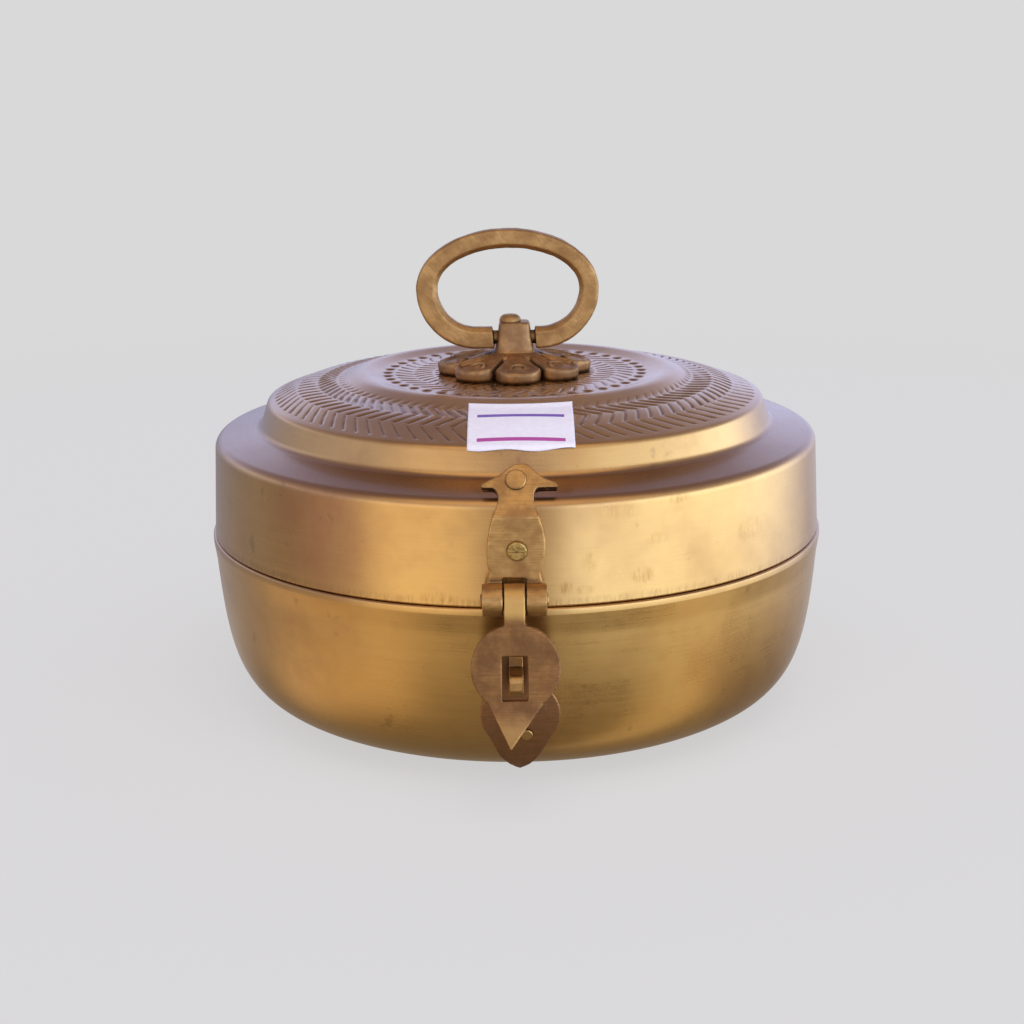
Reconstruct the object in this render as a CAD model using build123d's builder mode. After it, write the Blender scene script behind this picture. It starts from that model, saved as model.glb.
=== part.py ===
from build123d import *
from math import cos, radians, sin
import os

# Round brass food box: a spun bowl and a domed lid, joined by a leaf hinge at the rear and closed
# by a hasp over a padlock eye at the front, with a swinging ring handle on the lid.
# Millimetres. +Z is up, the origin is the centre of the base, and the hasp faces -Y.

# ---- driving dimensions ----
SHEET = 1.2  # wall of the spun bowl and lid
CONTACT = 0.05  # room left between pieces that touch and are fixed to each other
SEAM_Z = 63.0  # top of the bowl's lip, where the lid comes down
SEAM_GAP = 0.3  # open joint under the lid's edge

BASE_R = 62.0  # flat bottom of the bowl
BOWL_R = 109.6  # bowl just under its lip
LIP_R = 110.0
LIP_H = 2.0
NECK_R = 107.0  # upstanding neck inside the lid
NECK_H = 8.0

LID_R = 109.2  # lid at its open edge
SHOULDER = (107.5, 96.7)  # radius and height of the lid's shoulder
RISER_FOOT = (91.5, 100.1)
RISER_TOP = (88.5, 109.2)
BAND_MID = (75.0, 114.0)
BAND_END = (62.6, 115.7)
CREST = (55.5, 118.6)
DISC_EDGE = (48.0, 116.9)
LID_BENDS = [3.5, 3.0, 2.2, 40.0, 10.0, 9.0, 12.0]  # bend radii at the corners above, in order

PIVOT_Z = 129.4  # axis of the ring handle
STUB_R = 2.4
RUNNING = 0.05  # radial clearance of a pin that turns

HASP_Y = -116.0  # axis of the hasp
HASP_Z = 68.0
HASP_PIN_R = 2.0
HASP_BARREL_R = 5.0
HASP_TILT = 7.5  # degrees that the hasp stands out from the wall

HINGE_Y = 115.0  # axis of the rear hinge
HINGE_Z = 64.0
HINGE_PIN_R = 1.6
HINGE_BARREL_R = 3.6

# ---- outlines of the two shells ----
LID_EDGE_Z = SEAM_Z + SEAM_GAP
LID_CORNERS = [SHOULDER, RISER_FOOT, RISER_TOP, BAND_MID, BAND_END, CREST, DISC_EDGE]
DISC_Z = DISC_EDGE[1]
BOWL_CURVE_TOP_Z = SEAM_Z - LIP_H


def bowl_outer_curve(grow=0.0):
    """Bottom and side of the bowl, from the axis to the lip, moved out by grow."""
    Line((0, -grow), (BASE_R, -grow))
    Bezier(
        (BASE_R, -grow),
        (BASE_R + 42.0 + grow, -grow),
        (BOWL_R - 3.4 + grow, 12.0),
        (BOWL_R + grow, BOWL_CURVE_TOP_Z),
    )


def lid_outer_curve(grow=0.0):
    """Wall, shoulder, riser and dome of the lid, from its edge to the axis, moved out by grow."""
    corners = [(r + grow, z + grow) for r, z in LID_CORNERS]
    FilletPolyline((LID_R + grow, LID_EDGE_Z), *corners, (0, DISC_Z + grow), radius=LID_BENDS)


def rectangle_line(x0, y0, x1, y1):
    """Closed outline of a rectangle from two opposite corners."""
    Polyline((x0, y0), (x1, y0), (x1, y1), (x0, y1), close=True)


def revolved(outline):
    """Solid of revolution about Z of an outline drawn on the XZ plane."""
    return Solid.revolve(outline.face(), 360, Axis.Z)


# Full bodies inside the outer surfaces. Pieces that sit on a wall are cut back to them.
with BuildSketch(Plane.XZ) as bowl_inside:
    with BuildLine():
        bowl_outer_curve(CONTACT)
        Polyline(
            (BOWL_R + CONTACT, BOWL_CURVE_TOP_Z),
            (LIP_R + CONTACT, BOWL_CURVE_TOP_Z),
            (LIP_R + CONTACT, SEAM_Z + CONTACT),
            (0, SEAM_Z + CONTACT),
            (0, -CONTACT),
        )
    make_face()
bowl_envelope = revolved(bowl_inside.sketch)

with BuildSketch(Plane.XZ) as lid_inside:
    with BuildLine():
        lid_outer_curve(CONTACT)
        Polyline((0, DISC_Z + CONTACT), (0, LID_EDGE_Z), (LID_R + CONTACT, LID_EDGE_Z))
    make_face()
lid_envelope = revolved(lid_inside.sketch)


def wall_band(outer_curve, near, far):
    """Ring that follows a shell from near to far outside it."""
    solids = []
    for grow in (near, far):
        with BuildSketch(Plane.XZ) as body:
            with BuildLine():
                outer_curve(grow)
            make_hull()
        solids.append(revolved(body.sketch))
    return solids[1] - solids[0]


# ---- bowl ----
EYE_X = -0.6  # centre of the padlock eye
EYE_W = 4.4
EYE_Z = 41.85
EYE_H = 6.7
EYE_TIP_Y = -121.5
EYE_SHANK_R = 1.6
STAPLE_RIVET = (2.5, -104.6, 21.3)  # where the rivet meets the bowl's outer surface
STAPLE_RIVET_SLOPE = 16.7  # degrees that the wall faces downwards there
STAPLE_RIVET_R = 1.3
RIVET_X = 11.0  # rear hinge rivets, to each side of the middle
HINGE_RIVET_R = 1.5
BOWL_RIVET_Z = 51.0
LID_RIVET_Z = 78.0
BOWL_WALL_AT_RIVET = 109.1  # radii of the walls at those heights
LID_WALL_AT_RIVET = 108.5

staple_rivet_plane = Plane(
    origin=STAPLE_RIVET,
    x_dir=(1, 0, 0),
    z_dir=(0, -cos(radians(STAPLE_RIVET_SLOPE)), -sin(radians(STAPLE_RIVET_SLOPE))),
)
eye_plane = Plane(origin=(EYE_X, 0, EYE_Z), x_dir=(1, 0, 0), z_dir=(0, -1, 0))

with BuildPart() as bowl:
    with BuildSketch(Plane.XZ):
        with BuildLine():
            bowl_outer_curve()
            bowl_outer_curve(-SHEET)
            Line((0, 0), (0, SHEET))
            # lip, and the neck that the lid slips over
            Polyline(
                (BOWL_R, BOWL_CURVE_TOP_Z),
                (LIP_R, BOWL_CURVE_TOP_Z),
                (LIP_R, SEAM_Z),
                (NECK_R, SEAM_Z),
                (NECK_R, SEAM_Z + NECK_H),
                (NECK_R - SHEET, SEAM_Z + NECK_H),
                (NECK_R - SHEET, BOWL_CURVE_TOP_Z + SHEET),
                (BOWL_R - SHEET, BOWL_CURVE_TOP_Z),
            )
        make_face()
    revolve(axis=Axis.Z)
    # holes for the eye's shank, the staple's rivet and the hinge's rivets
    with BuildSketch(eye_plane.offset(100)):
        Circle(EYE_SHANK_R + CONTACT)
    extrude(amount=15, mode=Mode.SUBTRACT)
    with BuildSketch(staple_rivet_plane.offset(-4)):
        Circle(STAPLE_RIVET_R + CONTACT)
    extrude(amount=8, mode=Mode.SUBTRACT)
    with BuildSketch(Plane.XZ.offset(-115)):
        with Locations((-RIVET_X, BOWL_RIVET_Z), (RIVET_X, BOWL_RIVET_Z)):
            Circle(HINGE_RIVET_R + CONTACT)
    extrude(amount=15, mode=Mode.SUBTRACT)
bowl.part.label = "bowl"

# ---- lid ----
STUD_R = 2.0
SCREW_X = 0.1
SCREW_Z = 82.6
SCREW_R = 1.5
PLATE_RIVET_R = 1.6
PLATE_LEAN = 33.0  # degrees that the hasp plate's head leans back
PLATE_BEND = (-113.0, 93.0)  # y and z of the bend line on the plate's front
PLATE_RIVET_X = 0.0
HEAD_RIVET_UP = 12.1  # along the leaning face, from the bend to the rivet

lean_up = (0, sin(radians(PLATE_LEAN)), cos(radians(PLATE_LEAN)))
lean_out = (0, -cos(radians(PLATE_LEAN)), sin(radians(PLATE_LEAN)))
plate_rivet_plane = Plane(
    origin=(
        PLATE_RIVET_X,
        PLATE_BEND[0] + HEAD_RIVET_UP * lean_up[1],
        PLATE_BEND[1] + HEAD_RIVET_UP * lean_up[2],
    ),
    x_dir=(1, 0, 0),
    z_dir=lean_out,
)
screw_plane = Plane(origin=(SCREW_X, 0, SCREW_Z), x_dir=(1, 0, 0), z_dir=(0, -1, 0))

with BuildPart() as lid_shell:
    with BuildSketch(Plane.XZ):
        with BuildLine():
            lid_outer_curve()
            offset(amount=SHEET, side=Side.LEFT)
        make_face()
    revolve(axis=Axis.Z)
    # holes for the handle's stud, the hasp plate's screw and rivet, and the hinge's rivets
    with BuildSketch(Plane.XY.offset(DISC_Z - 5)):
        Circle(STUD_R + CONTACT)
    extrude(amount=10, mode=Mode.SUBTRACT)
    with BuildSketch(screw_plane.offset(100)):
        Circle(SCREW_R + CONTACT)
    extrude(amount=15, mode=Mode.SUBTRACT)
    with BuildSketch(plate_rivet_plane.offset(-14)):
        Circle(PLATE_RIVET_R + CONTACT)
    extrude(amount=14, mode=Mode.SUBTRACT)
    with BuildSketch(Plane.XZ.offset(-115)):
        with Locations((-RIVET_X, LID_RIVET_Z), (RIVET_X, LID_RIVET_Z)):
            Circle(HINGE_RIVET_R + CONTACT)
    extrude(amount=15, mode=Mode.SUBTRACT)
lid_shell.part.label = "lid_shell"

# ---- handle: flower base with its post ----
PETALS = 8
PETAL_R = 8.0
PETAL_AT = 19.5
FLOWER_TURN = 3.5  # degrees that the cast flower sits turned about the stud
FLOWER_Z = DISC_Z + CONTACT
FLOWER_TIP_R = PETAL_AT + PETAL_R
FLOWER_TIP_Z = 121.0
FLOWER_TOP = (7.5, 124.4)
POST_TOP_Z = 135.0
POST_FOOT = (13.3, 12.0)
POST_HEAD = (10.9, 9.6)
RING_SEAT = 2.95  # how near the ring's stubs come to the post's axis

with BuildPart() as handle_flower:
    with BuildSketch(Plane.XY.offset(FLOWER_Z)):
        Circle(PETAL_AT)
        with PolarLocations(PETAL_AT, PETALS, start_angle=FLOWER_TURN):
            Circle(PETAL_R)
    extrude(amount=FLOWER_TOP[1] - FLOWER_Z)
    # the petals slope down from the post
    with BuildSketch(Plane.XZ):
        with BuildLine():
            Polyline(
                (0, FLOWER_Z),
                (FLOWER_TIP_R + 1, FLOWER_Z),
                (FLOWER_TIP_R + 1, FLOWER_TIP_Z),
                FLOWER_TOP,
                (0, FLOWER_TOP[1]),
                close=True,
            )
        make_face()
    revolve(axis=Axis.Z, mode=Mode.INTERSECT)
    with BuildSketch(Plane.XY.offset(FLOWER_TOP[1] - 2.0)):
        RectangleRounded(*POST_FOOT, 2.0)
    with BuildSketch(Plane.XY.offset(POST_TOP_Z)):
        RectangleRounded(*POST_HEAD, 2.0)
    loft()
    for side in (-1, 1):
        with BuildSketch(Plane.YZ.offset(side * (RING_SEAT - 0.35))):
            with Locations((0, PIVOT_Z)):
                Circle(STUB_R + RUNNING)
        extrude(amount=side * 8, mode=Mode.SUBTRACT)
    with BuildSketch(Plane.XY.offset(FLOWER_Z)):
        Circle(STUD_R + CONTACT)
    extrude(amount=30, mode=Mode.SUBTRACT)
handle_flower.part.label = "handle_flower"

# ---- handle: the ring, an oval cut open at the post, with a stub into each side of it ----
RING_X = -2.2  # middle of the ring
RING_Z = 146.9
RING_HALF_W = 32.4
RING_TOP_H = 21.0
RING_LOW_R = 21.3  # radius of the outer lower corners
GRIP_X = -1.85
GRIP_HALF_W = 25.25
GRIP_TOP_H = 14.4
GRIP_LOW_R = 13.8
RING_DEPTH = 6.5
RING_OUTER_EDGE = 0.6
RING_INNER_EDGE = 1.5
RING_ENDS_LOW = (-6.9, 8.0)  # where the two ends of the ring stop below the pivot
RING_ENDS_HIGH = (-8.0, 7.3)  # and above it: the ends are cut a little aslant
RING_CUT_H = 6.0  # how far the cut reaches above and below the pivot
STUB_INTO_RING = 2.0


def oval(x, half_width, top_height, low_radius):
    """Half an ellipse over two round corners joined by a straight stretch."""
    flat = half_width - low_radius
    EllipticalCenterArc((x, RING_Z), half_width, top_height, start_angle=0, arc_size=180)
    CenterArc((x - flat, RING_Z), low_radius, 180, 90)
    Line((x - flat, RING_Z - low_radius), (x + flat, RING_Z - low_radius))
    CenterArc((x + flat, RING_Z), low_radius, 270, 90)


with BuildPart() as handle_ring:
    with BuildSketch(Plane.XZ.offset(-RING_DEPTH / 2)):
        with BuildLine():
            oval(RING_X, RING_HALF_W, RING_TOP_H, RING_LOW_R)
        make_face()
    extrude(amount=RING_DEPTH)
    chamfer(edges().filter_by(Axis.Y, reverse=True), RING_OUTER_EDGE)
    with BuildSketch(Plane.XZ.offset(-RING_DEPTH / 2)):
        with BuildLine():
            oval(GRIP_X, GRIP_HALF_W, GRIP_TOP_H, GRIP_LOW_R)
        make_face()
    extrude(amount=RING_DEPTH, mode=Mode.SUBTRACT)
    chamfer(edges(Select.LAST).filter_by(Axis.Y, reverse=True), RING_INNER_EDGE)
    with BuildSketch(Plane.XZ.offset(-RING_DEPTH)):
        with BuildLine():
            Polyline(
                (RING_ENDS_LOW[0], PIVOT_Z - RING_CUT_H),
                (RING_ENDS_LOW[1], PIVOT_Z - RING_CUT_H),
                (RING_ENDS_HIGH[1], PIVOT_Z + RING_CUT_H),
                (RING_ENDS_HIGH[0], PIVOT_Z + RING_CUT_H),
                close=True,
            )
        make_face()
    extrude(amount=2 * RING_DEPTH, mode=Mode.SUBTRACT)
    for side, end in ((-1, RING_ENDS_LOW[0]), (1, RING_ENDS_LOW[1])):
        with BuildSketch(Plane.YZ.offset(side * RING_SEAT)):
            with Locations((0, PIVOT_Z)):
                Circle(STUB_R)
        extrude(amount=abs(end) - RING_SEAT + STUB_INTO_RING, dir=(side, 0, 0))
handle_ring.part.label = "handle_ring"

# ---- handle: stud through the post, with its washer and nut under the lid ----
STUD_HEAD_R = 3.85
STUD_HEAD_H = 2.5
STUD_HEAD_X = -1.4  # the head was peened over off centre
LID_UNDER_Z = DISC_Z - SHEET
WASHER_T = 0.9
NUT_T = 3.0
STUD_END = LID_UNDER_Z - WASHER_T - NUT_T - 1.6

with BuildPart() as handle_stud:
    with BuildSketch(Plane.XY.offset(STUD_END)):
        Circle(STUD_R)
    extrude(amount=POST_TOP_Z + CONTACT - STUD_END)
    with BuildSketch(Plane.XY.offset(POST_TOP_Z + CONTACT)):
        with Locations((STUD_HEAD_X, 0)):
            Circle(STUD_HEAD_R)
    extrude(amount=STUD_HEAD_H)
    fillet(faces().sort_by(Axis.Z)[-1].edges(), STUD_HEAD_H - 0.3)
handle_stud.part.label = "handle_stud"


def washer(plane, outer_radius, bore_radius, thickness):
    with BuildPart(mode=Mode.PRIVATE) as ring:
        with BuildSketch(plane):
            Circle(outer_radius)
            Circle(bore_radius, mode=Mode.SUBTRACT)
        extrude(amount=thickness)
    return ring.part


def nut(plane, across_flats, bore_radius, thickness):
    with BuildPart(mode=Mode.PRIVATE) as hexagon:
        with BuildSketch(plane):
            RegularPolygon(across_flats / 2, 6, major_radius=False)
            Circle(bore_radius, mode=Mode.SUBTRACT)
        extrude(amount=thickness)
    return hexagon.part


below_lid = Plane(origin=(0, 0, LID_UNDER_Z - CONTACT), z_dir=(0, 0, -1))
with BuildPart() as handle_washer:
    add(washer(below_lid, 5.0, STUD_R + 0.15, WASHER_T))
handle_washer.part.label = "handle_washer"

with BuildPart() as handle_nut:
    add(nut(below_lid.offset(WASHER_T + CONTACT), 7.0, STUD_R + 0.02, NUT_T))
handle_nut.part.label = "handle_nut"

# ---- hasp plate on the lid: an upright leaf, and an eared head that leans back from its bend ----
KNUCKLES = [(-10.7, -4.4), (2.7, 9.0)]  # x of each barrel's two ends
PLATE_FOOT_Z = 75.6
PLATE_WEB_Z = 64.6
PLATE_WAIST_Z = 84.5
BEND_X = (-7.2, 6.9)  # sides of the plate at the bend
PLATE_BACK_Y = -105.0  # inside the lid's wall, which cuts it back
HEAD_T = 4.4
BARREL_ROOM_Z = 73.8  # top of the gap for the hasp's barrel

with BuildSketch(Plane.XZ.offset(-PLATE_BACK_Y)) as plate_front:
    with BuildLine():
        Line((KNUCKLES[1][1], PLATE_WEB_Z), (KNUCKLES[0][0], PLATE_WEB_Z))
        Line((KNUCKLES[0][0], PLATE_WEB_Z), (-8.4, PLATE_FOOT_Z))
        Spline(
            (-8.4, PLATE_FOOT_Z),
            (-9.0, PLATE_WAIST_Z),
            (BEND_X[0], PLATE_BEND[1]),
            tangents=[(-0.3, 1), (0.35, 1)],
        )
        Line((BEND_X[0], PLATE_BEND[1]), (BEND_X[1], PLATE_BEND[1]))
        Spline(
            (BEND_X[1], PLATE_BEND[1]),
            (8.8, PLATE_WAIST_Z),
            (7.2, PLATE_FOOT_Z),
            tangents=[(0.35, -1), (-0.3, -1)],
        )
        Line((7.2, PLATE_FOOT_Z), (KNUCKLES[1][1], PLATE_WEB_Z))
    make_face()

head_plane = Plane(origin=(0, *PLATE_BEND), x_dir=(1, 0, 0), z_dir=lean_out)
# from the bend up the left side, around the left ear, over the top and down by the right ear
with BuildSketch(head_plane) as head_front:
    with BuildLine():
        Line((BEND_X[1], 0), (BEND_X[0], 0))
        Spline((BEND_X[0], 0), (-5.9, 4.3), (-5.5, 7.2), (-6.4, 9.2), (-8.0, 9.6))
        Line((-8.0, 9.6), (-10.2, 9.7))
        ThreePointArc((-10.2, 9.7), (-10.7, 10.3), (-10.3, 11.0))
        Spline((-10.3, 11.0), (-8.3, 12.1), (-4.4, 14.3), (-1.4, 16.6), (2.0, 17.5))
        Spline((2.0, 17.5), (5.1, 15.7), (7.5, 13.5), (11.9, 11.5), tangents=[(1, 0), (1, -0.3)])
        ThreePointArc((11.9, 11.5), (12.6, 10.7), (12.5, 9.7))
        Line((12.5, 9.7), (7.6, 9.6))
        Spline((7.6, 9.6), (6.0, 9.1), (5.4, 7.2), (5.8, 4.1), (BEND_X[1], 0))
    make_face()

with BuildPart() as hasp_plate:
    extrude(plate_front.sketch, amount=PLATE_BACK_Y - PLATE_BEND[0])
    extrude(head_front.sketch, amount=-HEAD_T)
    with BuildSketch(Plane.XZ.offset(-PLATE_BACK_Y)):
        with BuildLine():
            rectangle_line(KNUCKLES[0][1], 60, KNUCKLES[1][0], BARREL_ROOM_Z)
        make_face()
    extrude(amount=12, mode=Mode.SUBTRACT)
    for low, high in KNUCKLES:
        with BuildSketch(Plane.YZ.offset(low)):
            with Locations((HASP_Y, HASP_Z)):
                Circle(HASP_BARREL_R)
        extrude(amount=high - low)
    with BuildSketch(Plane.YZ.offset(-15)):
        with Locations((HASP_Y, HASP_Z)):
            Circle(HASP_PIN_R + CONTACT / 2)
    extrude(amount=30, mode=Mode.SUBTRACT)
    with BuildSketch(screw_plane.offset(100)):
        Circle(SCREW_R + CONTACT)
    extrude(amount=20, mode=Mode.SUBTRACT)
    with BuildSketch(plate_rivet_plane.offset(-14)):
        Circle(PLATE_RIVET_R + CONTACT)
    extrude(amount=20, mode=Mode.SUBTRACT)
    add(lid_envelope, mode=Mode.SUBTRACT)
hasp_plate.part.label = "hasp_plate"

# ---- fasteners of the hasp plate ----
SCREW_HEAD_R = 3.05
SCREW_HEAD_H = 1.0
SLOT_W = 0.7
SLOT_DEPTH = 0.5
SCREW_OUT = -PLATE_BEND[0] + CONTACT
LID_INSIDE_AT_SCREW = 106.7
PLATE_RIVET_HEAD_R = 3.15
PLATE_RIVET_HEAD_H = 0.7
PLATE_RIVET_TAIL = -13.2  # along the rivet, from the plate's face to its inner end

with BuildPart() as hasp_plate_screw:
    with BuildSketch(screw_plane.offset(SCREW_OUT)):
        Circle(SCREW_HEAD_R)
    extrude(amount=SCREW_HEAD_H)
    fillet(faces().sort_by(Axis.Y)[0].edges(), 0.6)
    with BuildSketch(screw_plane.offset(SCREW_OUT + SCREW_HEAD_H)):
        Rectangle(2 * SCREW_HEAD_R, SLOT_W)
    extrude(amount=-SLOT_DEPTH, mode=Mode.SUBTRACT)
    with BuildSketch(screw_plane.offset(SCREW_OUT)):
        Circle(SCREW_R)
    extrude(amount=-(SCREW_OUT - LID_INSIDE_AT_SCREW + 4.2))
hasp_plate_screw.part.label = "hasp_plate_screw"

inside_screw = Plane(origin=(SCREW_X, -LID_INSIDE_AT_SCREW, SCREW_Z), x_dir=(1, 0, 0), z_dir=(0, 1, 0))
with BuildPart() as hasp_plate_washer:
    add(washer(inside_screw, 3.5, SCREW_R + 0.15, 0.7))
hasp_plate_washer.part.label = "hasp_plate_washer"

with BuildPart() as hasp_plate_nut:
    add(nut(inside_screw.offset(0.7 + CONTACT), 5.5, SCREW_R + 0.02, 2.4))
hasp_plate_nut.part.label = "hasp_plate_nut"

with BuildPart() as hasp_plate_rivet:
    with BuildSketch(plate_rivet_plane.offset(CONTACT)):
        Circle(PLATE_RIVET_HEAD_R)
    extrude(amount=PLATE_RIVET_HEAD_H)
    chamfer(faces().sort_by(Axis.Z)[-1].edges(), 0.3)
    with BuildSketch(plate_rivet_plane.offset(CONTACT)):
        Circle(PLATE_RIVET_R)
    extrude(amount=PLATE_RIVET_TAIL)
hasp_plate_rivet.part.label = "hasp_plate_rivet"

# ---- hasp pin ----
with BuildPart() as hasp_pin:
    with BuildSketch(Plane.YZ.offset(KNUCKLES[0][0] - 0.6)):
        with Locations((HASP_Y, HASP_Z)):
            Circle(HASP_PIN_R)
    extrude(amount=KNUCKLES[1][1] - KNUCKLES[0][0] + 1.2)
    chamfer(edges().filter_by(GeomType.CIRCLE), 0.4)
hasp_pin.part.label = "hasp_pin"

# ---- hasp, drawn on its own plane through the pin's axis, tilted out from the wall ----
HASP_T = 2.3
HASP_OUT = HASP_BARREL_R  # its outer face is flush with the barrel's front
TONGUE = (-4.0, 2.3)
HASP_DISC = (-0.7, -20.3)
HASP_DISC_R = 13.7
SLOT = (-4.85, -30.3, 2.97, -16.6)  # two opposite corners
TAIL_BEND = -31.2
TAIL_TIP = (-2.4, -45.0)
TAIL_LEAN = 12.0
TAIL_OUT = (TAIL_BEND - TAIL_TIP[1]) * sin(radians(TAIL_LEAN))

hasp_plane = Plane(
    origin=(0, HASP_Y, HASP_Z),
    x_dir=(1, 0, 0),
    z_dir=(0, -cos(radians(HASP_TILT)), sin(radians(HASP_TILT))),
)
hasp_side_plane = Plane(
    origin=hasp_plane.origin, x_dir=hasp_plane.z_dir, z_dir=(-1, 0, 0)
)

with BuildSketch(hasp_plane.offset(-6)) as hasp_front:
    with BuildLine():
        rectangle_line(TONGUE[0], HASP_DISC[1], TONGUE[1], HASP_BARREL_R)
    make_face()
    with Locations(HASP_DISC):
        Circle(HASP_DISC_R)
    with BuildLine():
        Polyline(TAIL_TIP, (-9.1, TAIL_BEND), (7.7, TAIL_BEND), close=True)
    make_face()
    with BuildLine():
        rectangle_line(*SLOT)
    make_face(mode=Mode.SUBTRACT)

with BuildPart() as hasp:
    # side profile: leaf down from the barrel, bent out at the tail
    with BuildSketch(hasp_side_plane.offset(-20)):
        with BuildLine():
            Polyline(
                (HASP_OUT - HASP_T, 0),
                (HASP_OUT, 0),
                (HASP_OUT, TAIL_BEND),
                (HASP_OUT + TAIL_OUT, TAIL_TIP[1]),
                (HASP_OUT + TAIL_OUT - 1.4, TAIL_TIP[1]),
                (HASP_OUT - HASP_T, TAIL_BEND),
                close=True,
            )
        make_face()
    extrude(amount=40)
    add(extrude(hasp_front.sketch, amount=20, mode=Mode.PRIVATE), mode=Mode.INTERSECT)
    with BuildSketch(Plane.YZ.offset(TONGUE[0])):
        with Locations((HASP_Y, HASP_Z)):
            Circle(HASP_BARREL_R)
    extrude(amount=TONGUE[1] - TONGUE[0])
    with BuildSketch(Plane.YZ.offset(TONGUE[0])):
        with Locations((HASP_Y, HASP_Z)):
            Circle(HASP_PIN_R + RUNNING)
    extrude(amount=TONGUE[1] - TONGUE[0], mode=Mode.SUBTRACT)
hasp.part.label = "hasp"

# ---- staple plate on the bowl: a round leaf with a point below and a lobe above ----
STAPLE_T = 2.5
STAPLE_HEAD_R = 1.9
STAPLE_HEAD_H = 0.6
LEAF = (0.55, 27.4)
LEAF_R = 12.65
LOBE = (-0.2, 45.0)
LOBE_R = 9.0
LEAF_NECK = 7.0  # half the width between the leaf and the lobe
LEAF_TIP = (0.3, 4.3)

with BuildSketch(Plane.XZ.offset(80)) as staple_front:
    with Locations(LEAF):
        Circle(LEAF_R)
    with Locations(LOBE):
        Circle(LOBE_R)
    with BuildLine():
        Polyline(
            (LEAF[0] - 9.9, 19.6),
            (-6.1, 11.2),
            (-2.9, 7.0),
            LEAF_TIP,
            (3.4, 7.0),
            (6.1, 10.8),
            (LEAF[0] + 9.9, 19.6),
            LEAF,
            close=True,
        )
    make_face()
    with BuildLine():
        rectangle_line(-LEAF_NECK, LEAF[1], LEAF_NECK, LOBE[1])
    make_face()

with BuildPart() as staple_plate:
    add(wall_band(bowl_outer_curve, CONTACT, CONTACT + STAPLE_T))
    add(extrude(staple_front.sketch, amount=40, mode=Mode.PRIVATE), mode=Mode.INTERSECT)
    with BuildSketch(eye_plane.offset(100)):
        Circle(EYE_SHANK_R + CONTACT)
    extrude(amount=15, mode=Mode.SUBTRACT)
    with BuildSketch(staple_rivet_plane.offset(-4)):
        Circle(STAPLE_RIVET_R + CONTACT)
    extrude(amount=8, mode=Mode.SUBTRACT)
staple_plate.part.label = "staple_plate"

# ---- padlock eye, riveted through the staple plate and the bowl ----
EYE_FOOT_Y = -111.5
EYE_FOOT_T = 1.1
EYE_FOOT_TOP = 50.5
EYE_BORE_R = 1.8
EYE_BORE_Y = -118.1
EYE_TAIL_Y = -105.8

with BuildPart() as staple_eye:
    with BuildSketch(Plane.YZ.offset(EYE_X - EYE_W / 2)):
        with BuildLine():
            Polyline(
                (EYE_FOOT_Y, EYE_Z - EYE_H / 2),
                (EYE_TIP_Y, EYE_Z - EYE_H / 2),
                (EYE_TIP_Y, EYE_Z + EYE_H / 2),
                (EYE_FOOT_Y - EYE_FOOT_T, EYE_Z + EYE_H / 2),
                (EYE_FOOT_Y - EYE_FOOT_T, EYE_FOOT_TOP),
                (EYE_FOOT_Y, EYE_FOOT_TOP),
                close=True,
            )
        make_face()
    extrude(amount=EYE_W)
    fillet(edges().filter_by(Axis.X).group_by(Axis.Y)[0], 2.2)
    with BuildSketch(Plane.YZ.offset(EYE_X - EYE_W / 2)):
        with Locations((EYE_BORE_Y, EYE_Z)):
            Circle(EYE_BORE_R)
    extrude(amount=EYE_W, mode=Mode.SUBTRACT)
    with BuildSketch(eye_plane.offset(-EYE_TAIL_Y)):
        Circle(EYE_SHANK_R)
    extrude(amount=EYE_TAIL_Y - EYE_FOOT_Y)
staple_eye.part.label = "staple_eye"

with BuildPart() as staple_rivet:
    with BuildSketch(staple_rivet_plane.offset(STAPLE_T + 2 * CONTACT)):
        Circle(STAPLE_HEAD_R)
    extrude(amount=STAPLE_HEAD_H)
    chamfer(faces().sort_by(Axis.Y)[0].edges(), 0.25)
    with BuildSketch(staple_rivet_plane.offset(STAPLE_T + 2 * CONTACT)):
        Circle(STAPLE_RIVET_R)
    extrude(amount=-(STAPLE_T + SHEET + 1.0))
staple_rivet.part.label = "staple_rivet"

# ---- rear hinge ----
LEAF_T = 1.6
WEB_Y = 106.0  # the webs start inside the wall and are cut back to it
LID_WEB = (64.6, 68.8)  # heights of the webs
BOWL_WEB = (59.2, 62.8)
LID_LEAF = (67.8, 80.0, 90.0)  # heights where a leaf starts, where its arc starts, and of its tip
BOWL_LEAF = (60.2, 48.0, 38.0)
HINGE_HEAD_R = 2.8
HINGE_HEAD_H = 1.2
HINGE_HEAD_LIFT = 0.35  # room between the leaf's curved face and the flat of the head
HINGE_HALF_W = 20.0
BARREL_GAP = 0.35
BARREL_W = (2 * HINGE_HALF_W - 4 * BARREL_GAP) / 5
BARREL_STEP = BARREL_W + BARREL_GAP
BOWL_BARRELS = [-HINGE_HALF_W + i * BARREL_STEP for i in (0, 2, 4)]
LID_BARRELS = [-HINGE_HALF_W + i * BARREL_STEP for i in (1, 3)]


def leaf_outline(high, low, tip):
    """Leaf seen from behind: straight from high, at the barrels, to low, then an arc to its tip."""
    with BuildSketch(Plane.XZ.offset(-125), mode=Mode.PRIVATE) as shape:
        with BuildLine():
            rectangle_line(-HINGE_HALF_W, low, HINGE_HALF_W, high)
        make_face()
        with BuildLine():
            Line((-HINGE_HALF_W, low), (HINGE_HALF_W, low))
            ThreePointArc((HINGE_HALF_W, low), (0, tip), (-HINGE_HALF_W, low))
        make_face()
    return extrude(shape.sketch, amount=40, mode=Mode.PRIVATE)


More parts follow.
